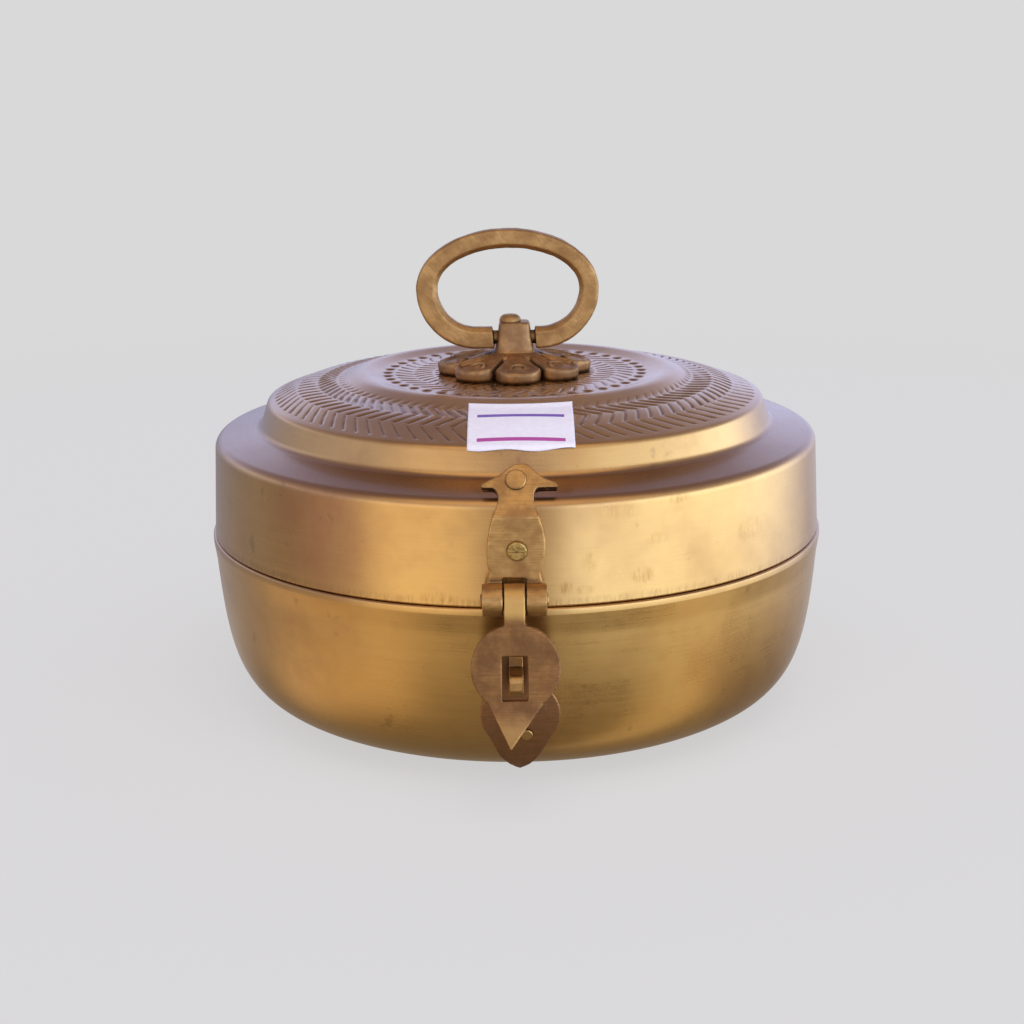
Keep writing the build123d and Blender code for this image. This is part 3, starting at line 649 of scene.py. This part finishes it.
def rgb(r, g, b):
    """Linear colour from sRGB numbers from 0 to 255."""
    channels = []
    for c in (r, g, b):
        c /= 255
        channels.append(c / 12.92 if c <= 0.04045 else ((c + 0.055) / 1.055) ** 2.4)
    return (*channels, 1.0)


SHOULDER_Z = 98.6 * MM  # middle of the lid's shoulder, where the painted shade is darkest
MARK_R = 108.8  # the marks are centred at this radius, close to the wall's
# Handling marks on the lid's wall: degrees round from the hasp, height, half the size across, half
# the size up, and strength.
LARGE_STAIN = (-36, 84, 34, 30, 0.95)
SMUDGES = [
    (28, 94, 5.0, 2.5, 0.60),
    (17, 92, 9.0, 3.5, 0.40),
    (24, 82, 5.0, 2.5, 0.45),
    (44, 79, 8.0, 5.0, 0.55),
    (12, 77, 3.5, 4.5, 0.45),
    (21, 71, 5.0, 3.5, 0.80),
    (8, 69, 3.0, 3.0, 0.75),
    (11, 68, 4.0, 2.0, 0.55),
    (-13, 66, 9.0, 2.2, 0.45),
]


def sheet_brass():
    """Antique spun brass under clear lacquer: turned lines, brown patina on top and in the pattern."""
    n = Nodes("sheet_brass")
    position = n.coords.outputs["Object"]
    flat = n.vector("MULTIPLY", position, (1.0, 1.0, 0.0))
    radius = n.vector("LENGTH", flat)
    height = n.xyz(position)[2]
    along = n.math("ADD", radius, height)
    around = n.vector("NORMALIZE", flat)
    join = n.tree.nodes.new("ShaderNodeCombineXYZ")
    n.link(n.math("MULTIPLY", along, 420.0), join.inputs["Z"])
    turned = n.vector("ADD", n.vector("SCALE", around, scale=0.9), join.outputs[0])
    lines = n.noise(turned, 4.0, 5.0, 0.65)
    broad_lines = n.noise(turned, 0.9, 2.0)
    blotch = n.noise(position, 16.0, 4.0, 0.6)
    cloud = n.noise(position, 42.0, 6.0, 0.68)
    speck = n.noise(position, 900.0, 2.0)

    facing_up = n.ramp(n.xyz(n.coords.outputs["Normal"])[2], 0.35, 0.95)
    relief = n.tree.nodes.new("ShaderNodeAttribute")
    relief.attribute_name = "relief"
    hollow = n.ramp(relief.outputs["Fac"], -0.32, -0.02, 1.0, 0.0)

    def mark(degrees, mark_z, across, up, strength, solid):
        """Mask of a mark on the lid's wall, solid up to a share of its size and fading out at its edge."""
        turn = math.radians(degrees)
        centre = (MARK_R * math.sin(turn), -MARK_R * math.cos(turn), mark_z)
        offset = n.vector("SUBTRACT", position, tuple(c * MM for c in centre))
        offset = n.vector("MULTIPLY", offset, (1 / (across * MM), 1 / (across * MM), 1 / (up * MM)))
        return n.ramp(n.vector("LENGTH", offset), solid, 1.0, strength, 0.0)

    gold = n.mix(n.ramp(lines, 0.2, 0.8), rgb(205, 160, 88), rgb(213, 168, 95))
    patchy = n.ramp(cloud, 0.3, 0.6, 0.55, 1.0)
    gold = n.mix(n.math("MULTIPLY", mark(*LARGE_STAIN, 0.25), patchy), gold, rgb(186, 130, 74))
    spread = n.vector("ADD", position, n.vector("SCALE", flat, scale=0.5))
    upright_streaks = n.vector("MULTIPLY", spread, (1.0, 1.0, 0.35))
    streaky = n.ramp(n.noise(upright_streaks, 620.0, 5.0, 0.72), 0.38, 0.66)
    for smear in SMUDGES:
        gold = n.mix(n.math("MULTIPLY", mark(*smear, 0.4), streaky), gold, rgb(166, 119, 34))
    from_seam = n.math("ABSOLUTE", n.math("SUBTRACT", height, (SEAM_Z + 1.2) * MM))
    grime = n.math("MULTIPLY", n.ramp(from_seam, 0.6 * MM, 2.4 * MM, 0.45, 0.0), streaky)
    gold = n.mix(grime, gold, rgb(138, 98, 36))
    stained = n.mix(n.ramp(blotch, 0.45, 0.72, 0.0, 0.55), gold, rgb(170, 120, 60))
    smudge = n.ramp(n.noise(position, 75.0, 3.0, 0.72), 0.64, 0.72, 0.0, 0.3)
    stained = n.mix(smudge, stained, rgb(132, 92, 50))
    stained = n.mix(n.ramp(cloud, 0.5, 0.75, 0.0, 0.22), stained, rgb(158, 108, 54))
    patina = n.mix(n.ramp(blotch, 0.35, 0.7), rgb(190, 146, 96), rgb(166, 122, 78))
    colour = n.mix(n.math("MULTIPLY", facing_up, 0.5), stained, patina)
    # painted shade: the up-facing band round the lid's shoulder is painted darker brown
    from_shoulder = n.math("ABSOLUTE", n.math("SUBTRACT", height, SHOULDER_Z))
    shoulder_shade = n.math("MULTIPLY", n.ramp(from_shoulder, 2.0 * MM, 3.5 * MM, 1.0, 0.0), facing_up)
    colour = n.mix(n.math("MULTIPLY", shoulder_shade, 0.8), colour, rgb(148, 106, 66))
    colour = n.mix(n.math("MULTIPLY", hollow, 0.5), colour, rgb(96, 64, 38))
    colour = n.mix(n.ramp(speck, 0.74, 0.78, 0.0, 0.4), colour, rgb(84, 56, 32))
    n.link(colour, n.shader.inputs["Base Color"])
    n.shader.inputs["Metallic"].default_value = 1.0
    rough = n.math("ADD", n.ramp(cloud, 0.3, 0.7, 0.26, 0.34), n.ramp(lines, 0.3, 0.7, -0.02, 0.02))
    n.link(rough, n.shader.inputs["Roughness"])
    n.shader.inputs["Anisotropic"].default_value = 0.6
    n.shader.inputs["Anisotropic Rotation"].default_value = 0.25
    tangent = n.tree.nodes.new("ShaderNodeTangent")
    tangent.direction_type = "RADIAL"
    tangent.axis = "Z"
    n.link(tangent.outputs["Tangent"], n.shader.inputs["Tangent"])
    n.shader.inputs["Coat Weight"].default_value = 0.85
    n.shader.inputs["Coat Roughness"].default_value = 0.16
    tool_marks = n.math("ADD", n.math("MULTIPLY", lines, 0.7), n.math("MULTIPLY", broad_lines, 0.3))
    fine = n.bump(tool_marks, 0.015 * MM, 0.28)
    n.link(n.bump(blotch, 1.2 * MM, 0.10, fine), n.shader.inputs["Normal"])
    return n.material


DARK_UNDERSIDE_Z = 96.0 * MM  # dark patches on the faces that point down are painted above this height only


def cast_brass(name, stretch, light, dark, rough=0.46, turn=0.0, grain_height=0.05, disc=None, dark_underside=False):
    """Cast and filed brass: brush lines along the direction with the smallest stretch, brown in hollows,
    and painted shade with dirt in crevices.

    turn is how far the brush lines are turned about Y, in degrees. disc is the heights between which
    the metal keeps its dark patina; above and below, it is painted brighter, a painted highlight. crust
    darkens the faces that point down high on the piece in patches, as under the ears of the hasp plate.
    """
    n = Nodes(name)
    position = n.coords.outputs["Object"]
    mapping = n.tree.nodes.new("ShaderNodeMapping")
    mapping.vector_type = "TEXTURE"
    n.link(position, mapping.inputs["Vector"])
    mapping.inputs["Rotation"].default_value = (0, math.radians(turn), 0)
    mapping.inputs["Scale"].default_value = tuple(1 / s for s in stretch)
    lines = n.noise(mapping.outputs["Vector"], 1.0, 4.0, 0.6)
    blotch = n.noise(position, 120.0, 5.0, 0.65)
    grain = n.noise(position, 1500.0, 3.0, 0.6)
    geometry = n.tree.nodes.new("ShaderNodeNewGeometry")
    hollow = n.ramp(geometry.outputs["Pointiness"], 0.42, 0.495, 1.0, 0.0)
    worn = n.ramp(geometry.outputs["Pointiness"], 0.51, 0.60)
    colour = n.mix(n.ramp(blotch, 0.35, 0.68), light, dark)
    colour = n.mix(n.ramp(lines, 0.42, 0.66, 0.0, 0.6), colour, dark)
    height = n.xyz(position)[2]
    # painted highlight: the hasp is painted brighter above and below its disc
    if disc is not None:
        above = n.ramp(height, disc[1] * MM, (disc[1] + 4) * MM, 0.0, 0.95)
        below = n.ramp(height, (disc[0] - 8) * MM, disc[0] * MM, 0.42, 0.0)
        colour = n.mix(n.math("ADD", above, below), colour, rgb(212, 170, 98))
    # darker in patches on the faces that point down, high on the piece
    if dark_underside:
        facing_down = n.ramp(n.xyz(n.coords.outputs["Normal"])[2], -0.6, -0.45, 1.0, 0.0)
        under = n.math("MULTIPLY", facing_down, n.ramp(height, DARK_UNDERSIDE_Z, DARK_UNDERSIDE_Z + 2 * MM))
        under = n.math("MULTIPLY", under, n.ramp(n.noise(position, 330.0, 3.0), 0.44, 0.48))
        colour = n.mix(n.math("MULTIPLY", under, 0.9), colour, rgb(58, 50, 46))
    # painted shade and dirt: darker where ambient occlusion finds a crevice or a neighbouring part close by
    occlusion = n.tree.nodes.new("ShaderNodeAmbientOcclusion")
    occlusion.samples = 8
    occlusion.inputs["Distance"].default_value = 2.4 * MM
    crevice_shade_and_dirt = n.ramp(occlusion.outputs["AO"], 0.45, 0.86, 1.0, 0.0)
    colour = n.mix(n.math("MULTIPLY", crevice_shade_and_dirt, 0.85), colour, rgb(52, 36, 24))
    colour = n.mix(n.math("MULTIPLY", hollow, 0.6), colour, rgb(58, 38, 24))
    colour = n.mix(n.math("MULTIPLY", worn, 0.18), colour, rgb(220, 180, 112))
    n.link(colour, n.shader.inputs["Base Color"])
    n.shader.inputs["Metallic"].default_value = 1.0
    n.link(n.ramp(blotch, 0.3, 0.7, rough - 0.05, rough + 0.09), n.shader.inputs["Roughness"])
    n.shader.inputs["Coat Weight"].default_value = 0.15
    n.shader.inputs["Coat Roughness"].default_value = 0.35
    brushed = n.bump(lines, 0.05 * MM, 0.55)
    n.link(n.bump(grain, grain_height * MM, 0.35, brushed), n.shader.inputs["Normal"])
    return n.material


def bright_brass():
    """Turned yellow brass of the screw, nuts and washers."""
    n = Nodes("bright_brass")
    blotch = n.noise(n.coords.outputs["Object"], 700.0, 4.0)
    colour = n.mix(n.ramp(blotch, 0.4, 0.7), rgb(196, 164, 96), rgb(140, 110, 58))
    n.link(colour, n.shader.inputs["Base Color"])
    n.shader.inputs["Metallic"].default_value = 1.0
    n.link(n.ramp(blotch, 0.3, 0.7, 0.36, 0.5), n.shader.inputs["Roughness"])
    n.link(n.bump(blotch, 0.05 * MM, 0.4), n.shader.inputs["Normal"])
    return n.material


RULE_HALF_W = 14.0
UPPER_RULE = (-70.5, -68.3)  # Y from and to
LOWER_RULE = (-85.6, -83.6)


def paper():
    """White coated paper with two plain coloured rules across it."""
    n = Nodes("paper")
    position = n.coords.outputs["Object"]
    fibres = n.noise(position, 600.0, 4.0)
    place_x, place_y = n.xyz(position)[:2]
    white = n.mix(n.ramp(fibres, 0.3, 0.7), rgb(232, 229, 236), rgb(237, 235, 240))

    def rule(low, high):
        above = n.math("GREATER_THAN", place_y, low * MM)
        below = n.math("LESS_THAN", place_y, high * MM)
        return n.math("MULTIPLY", above, below)

    from_middle = n.math("ABSOLUTE", n.math("SUBTRACT", place_x, sum(LABEL_X) / 2 * MM))
    inside = n.math("LESS_THAN", from_middle, RULE_HALF_W * MM)
    violet = n.math("MULTIPLY", rule(*UPPER_RULE), inside)
    pink = n.math("MULTIPLY", rule(*LOWER_RULE), inside)
    colour = n.mix(violet, white, rgb(116, 86, 168))
    colour = n.mix(pink, colour, rgb(176, 76, 150))
    n.link(colour, n.shader.inputs["Base Color"])
    n.link(n.ramp(fibres, 0.3, 0.7, 0.3, 0.42), n.shader.inputs["Roughness"])
    n.shader.inputs["Specular IOR Level"].default_value = 0.4
    return n.material


def clothe(obj, material):
    obj.data.materials.clear()
    obj.data.materials.append(material)


# ---------------------------------------------------------------- build the pieces
SHEET_MATERIAL = sheet_brass()
CAST_ACROSS = cast_brass("cast_across", (60, 3000, 3000), rgb(204, 161, 96), rgb(166, 125, 74), dark_underside=True)
CAST_DARK = cast_brass("cast_dark", (60, 3000, 3000), rgb(157, 113, 66), rgb(124, 87, 51), disc=(36.5, 62))
# painted shade: a darker copy of the cast brass for the staple plate, which faces down behind the hasp
CAST_SHADED = cast_brass("cast_shaded", (120, 2600, 2200), rgb(170, 124, 82), rgb(142, 101, 69))
CAST_RING = cast_brass(
    "cast_ring", (160, 900, 2400), rgb(200, 159, 100), rgb(164, 125, 76), rough=0.52, turn=48.0
)
CAST_FLOWER = cast_brass(
    "cast_flower", (500, 500, 500), rgb(196, 154, 102), rgb(154, 118, 78), rough=0.5, grain_height=0.14
)
BRIGHT = bright_brass()

lid = make_lid()
clothe(lid, SHEET_MATERIAL)
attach(lid, "lid")
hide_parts("lid_shell")

bowl = make_bowl()
clothe(bowl, SHEET_MATERIAL)
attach(bowl, "bowl")
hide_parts("bowl")

flower = make_flower()
clothe(flower, CAST_FLOWER)
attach(flower, "lid")
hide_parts("handle_flower")

label = make_label()
clothe(label, paper())
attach(label, "lid")

CAST_NODES = [
    # node, new piece, body, material, smoothing rounds, unevenness in millimetres
    ("handle_ring", "ring_handle", "handle", CAST_RING, 5, 0.10),
    ("hasp_plate", "hasp_plate_cast", "lid", CAST_ACROSS, 9, 0.08),
    ("hasp", "hasp_cast", "hasp", CAST_DARK, 4, 0.06),
    ("staple_plate", "staple_plate_cast", "bowl", CAST_SHADED, 3, 0.04),
    ("staple_eye", "staple_eye_cast", "bowl", CAST_ACROSS, 5, 0.05),
    ("hinge_leaf_lid", "hinge_leaf_lid_cast", "lid", CAST_ACROSS, 3, 0.02),
    ("hinge_leaf_bowl", "hinge_leaf_bowl_cast", "bowl", CAST_ACROSS, 3, 0.02),
]
for index, (node, piece, body, material, rounds, rough) in enumerate(CAST_NODES):
    made = cast_from(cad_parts[node], piece, rounds, rough, 2.0 + index)
    clothe(made, material)
    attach(made, body)
    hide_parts(node)

KEPT = {
    "handle_stud": CAST_RING,
    "handle_washer": BRIGHT,
    "handle_nut": BRIGHT,
    "hasp_plate_screw": BRIGHT,
    "hasp_plate_washer": BRIGHT,
    "hasp_plate_nut": BRIGHT,
    "hasp_plate_rivet": CAST_ACROSS,
    "hasp_pin": CAST_ACROSS,
    "staple_rivet": CAST_ACROSS,
    "hinge_pin": CAST_ACROSS,
    "hinge_rivets_lid": CAST_RING,
    "hinge_rivets_bowl": CAST_RING,
}
for node, material in KEPT.items():
    clothe(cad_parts[node], material)


# ---------------------------------------------------------------- stage, light and camera
def emission(name, strength, colour):
    """Material that only glows."""
    material = bpy.data.materials.new(name)
    material.use_nodes = True
    nodes, links = material.node_tree.nodes, material.node_tree.links
    nodes.clear()
    glow = nodes.new("ShaderNodeEmission")
    glow.inputs["Color"].default_value = colour
    glow.inputs["Strength"].default_value = strength
    out = nodes.new("ShaderNodeOutputMaterial")
    links.new(glow.outputs[0], out.inputs["Surface"])
    return material


BACKGROUND = rgb(217, 217, 217)
BACKDROP_R = 6.0
FLOOR_R = 2.5
FLOOR_FADE = (0.35, 1.1)  # distances from the middle between which the floor fades out
FLOOR_GLOW = 0.80
FLOOR_GREY = 0.17


def make_stage():
    """Grey backdrop that only the camera sees, and a pale floor that fades into it."""
    bpy.ops.mesh.primitive_uv_sphere_add(segments=64, ring_count=32, radius=BACKDROP_R)
    dome = bpy.context.object
    dome.name = "backdrop"
    clothe(dome, emission("backdrop_grey", 1.0, BACKGROUND))
    dome.visible_diffuse = False
    dome.visible_glossy = False
    dome.visible_transmission = False
    dome.visible_shadow = False
    where = (0, 0, cad_low.z)
    bpy.ops.mesh.primitive_circle_add(vertices=128, radius=FLOOR_R, fill_type="NGON", location=where)
    floor = bpy.context.object
    floor.name = "floor"
    material = bpy.data.materials.new("floor_pale")
    material.use_nodes = True
    tree = material.node_tree
    tree.nodes.clear()
    coords = tree.nodes.new("ShaderNodeTexCoord")
    length = tree.nodes.new("ShaderNodeVectorMath")
    length.operation = "LENGTH"
    tree.links.new(coords.outputs["Object"], length.inputs[0])
    fade = tree.nodes.new("ShaderNodeMapRange")
    fade.interpolation_type = "SMOOTHSTEP"
    fade.inputs["From Min"].default_value = FLOOR_FADE[0]
    fade.inputs["From Max"].default_value = FLOOR_FADE[1]
    fade.inputs["To Min"].default_value = 1.0
    fade.inputs["To Max"].default_value = 0.0
    tree.links.new(length.outputs["Value"], fade.inputs["Value"])
    glow = tree.nodes.new("ShaderNodeEmission")
    glow.inputs["Color"].default_value = BACKGROUND
    glow.inputs["Strength"].default_value = FLOOR_GLOW
    paint = tree.nodes.new("ShaderNodeBsdfDiffuse")
    paint.inputs["Color"].default_value = (FLOOR_GREY, FLOOR_GREY, FLOOR_GREY, 1)
    add = tree.nodes.new("ShaderNodeAddShader")
    tree.links.new(glow.outputs[0], add.inputs[0])
    tree.links.new(paint.outputs[0], add.inputs[1])
    clear = tree.nodes.new("ShaderNodeBsdfTransparent")
    mix = tree.nodes.new("ShaderNodeMixShader")
    tree.links.new(fade.outputs["Result"], mix.inputs["Fac"])
    tree.links.new(clear.outputs[0], mix.inputs[1])
    tree.links.new(add.outputs[0], mix.inputs[2])
    out = tree.nodes.new("ShaderNodeOutputMaterial")
    tree.links.new(mix.outputs[0], out.inputs["Surface"])
    clothe(floor, material)
    floor.visible_glossy = False


def softbox(name, azimuth, height, distance, size, power):
    """Area light aimed at the object. Azimuth 0 is the camera's side and 90 is +X."""
    turn = math.radians(azimuth)
    light = bpy.data.lights.new(name, "AREA")
    light.shape = "RECTANGLE"
    light.size, light.size_y = size
    light.energy = power
    box = bpy.data.objects.new(name, light)
    box.location = (distance * math.sin(turn), -distance * math.cos(turn), height)
    aim = Vector((0, 0, 0.08)) - box.location
    box.rotation_euler = aim.to_track_quat("-Z", "Y").to_euler()
    bpy.context.scene.collection.objects.link(box)
    return box


# What the brass mirrors, by elevation in degrees: a pale violet horizon, darker above and below.
SKY = [
    (-90, (0.20, 0.175, 0.15)),
    (-50, (0.24, 0.205, 0.165)),
    (-30, (0.26, 0.21, 0.165)),
    (-19, (0.46, 0.41, 0.39)),
    (-8, (0.58, 0.56, 0.68)),
    (0, (0.72, 0.75, 1.05)),
    (18, (0.70, 0.74, 1.12)),
    (31, (0.42, 0.40, 0.58)),
    (54, (0.33, 0.28, 0.36)),
    (90, (0.32, 0.27, 0.30)),
]
# Soft panels: azimuth from, to, edges; elevation from, to, edge; and the light they add.
# Azimuth 0 is the viewer's side and 90 is +X, all in degrees.
PANELS = [
    ((16, 120, 8, 26), (-17, 17, 7), (1.48, 1.83, 2.30)),
    ((-54, -15, 14, 12), (-17, 17, 7), (1.00, 0.87, 0.51)),
    ((58, 92, 14, 14), (-92, -24, 14), (0.52, 0.43, 0.25)),
    ((-114, -42, 18, 12), (-43, -24, 10), (0.64, 0.48, 0.29)),
    ((-60, 60, 20, 20), (36, 80, 12), (0.77, 0.60, 0.36)),
]
# The same for a part of the surroundings that is darker, with the share of the light it keeps.
DARK_SIDE = ((-172, -80, 10, 14), (-17, 8, 7), 0.50)


def make_light():
    """World that the brass mirrors, from SKY, PANELS and DARK_SIDE, and one lamp from above."""
    world = bpy.data.worlds.new("studio")
    bpy.context.scene.world = world
    world.use_nodes = True
    tree = world.node_tree
    new, link = tree.nodes.new, tree.links.new

    def math_node(operation, a, b=0.0):
        node = new("ShaderNodeMath")
        node.operation = operation
        for value, socket in zip((a, b), node.inputs):
            if isinstance(value, bpy.types.NodeSocket):
                link(value, socket)
            else:
                socket.default_value = value
        return node.outputs[0]

    def rise(value, start, edge):
        node = new("ShaderNodeMapRange")
        node.interpolation_type = "SMOOTHSTEP"
        link(value, node.inputs["Value"])
        node.inputs["From Min"].default_value = start - edge
        node.inputs["From Max"].default_value = start + edge
        return node.outputs["Result"]

    def window(value, low, high, edge_low, edge_high):
        return math_node("SUBTRACT", rise(value, low, edge_low), rise(value, high, edge_high))

    coords = new("ShaderNodeTexCoord")
    split = new("ShaderNodeSeparateXYZ")
    link(coords.outputs["Generated"], split.inputs[0])
    towards_viewer = math_node("MULTIPLY", split.outputs["Y"], -1.0)
    azimuth = math_node("ARCTAN2", split.outputs["X"], towards_viewer)
    azimuth = math_node("MULTIPLY", azimuth, 180 / math.pi)
    elevation = math_node("MULTIPLY", math_node("ARCSINE", split.outputs["Z"]), 180 / math.pi)

    ramp = new("ShaderNodeValToRGB")
    link(math_node("DIVIDE", math_node("ADD", elevation, 90.0), 180.0), ramp.inputs["Fac"])
    ramp.color_ramp.elements.remove(ramp.color_ramp.elements[0])
    for i, (degrees, colour) in enumerate(SKY):
        place = (degrees + 90) / 180
        stop = ramp.color_ramp.elements[0] if i == 0 else ramp.color_ramp.elements.new(place)
        stop.position = place
        stop.color = (*colour, 1)
    light = ramp.outputs["Color"]

    def scaled(colour, factor):
        node = new("ShaderNodeVectorMath")
        node.operation = "SCALE"
        if isinstance(colour, bpy.types.NodeSocket):
            link(colour, node.inputs[0])
        else:
            node.inputs[0].default_value = colour
        link(factor, node.inputs["Scale"])
        return node.outputs["Vector"]

    def patch(around, up):
        low, high, edge = up
        return math_node("MULTIPLY", window(azimuth, *around), window(elevation, low, high, edge, edge))

    around, up, factor = DARK_SIDE
    shade = patch(around, up)
    light = scaled(light, math_node("SUBTRACT", 1.0, math_node("MULTIPLY", shade, 1 - factor)))
    for around, up, colour in PANELS:
        inside = patch(around, up)
        add = new("ShaderNodeVectorMath")
        add.operation = "ADD"
        link(light, add.inputs[0])
        link(scaled(colour, inside), add.inputs[1])
        light = add.outputs["Vector"]
    link(light, tree.nodes["Background"].inputs["Color"])
    tree.nodes["Background"].inputs["Strength"].default_value = 1.0
    top = softbox("top", 20, 1.5, 0.5, (1.0, 1.0), 7)
    top.visible_glossy = False


CAMERA_ELEVATION = 15.2
CAMERA_ROLL = -0.67
CAMERA_DISTANCE = 0.640
CAMERA_LENS = 61.07
IMAGE_SIZE = 1024
CAMERA_SHIFT = (-4.3 / IMAGE_SIZE, 3.5 / IMAGE_SIZE)


def make_camera():
    """The view of the object from the front: a little above it, with the axis just off the middle."""
    elevation = math.radians(CAMERA_ELEVATION)
    aim = Vector((0, 0, SEAM_Z * MM))
    data = bpy.data.cameras.new("camera")
    data.sensor_width = 36.0
    data.lens = CAMERA_LENS
    data.shift_x, data.shift_y = CAMERA_SHIFT
    data.clip_start = 0.05
    data.clip_end = 50.0
    camera = bpy.data.objects.new("camera", data)
    back = Vector((0, -math.cos(elevation), math.sin(elevation)))
    look = (-back).to_track_quat("-Z", "Y").to_matrix().to_4x4()
    roll = Matrix.Rotation(math.radians(CAMERA_ROLL), 4, "Z")
    camera.matrix_world = Matrix.Translation(aim + back * CAMERA_DISTANCE) @ look @ roll
    bpy.context.scene.collection.objects.link(camera)
    bpy.context.scene.camera = camera


make_stage()
make_light()
make_camera()
bpy.context.scene.view_settings.view_transform = "Standard"
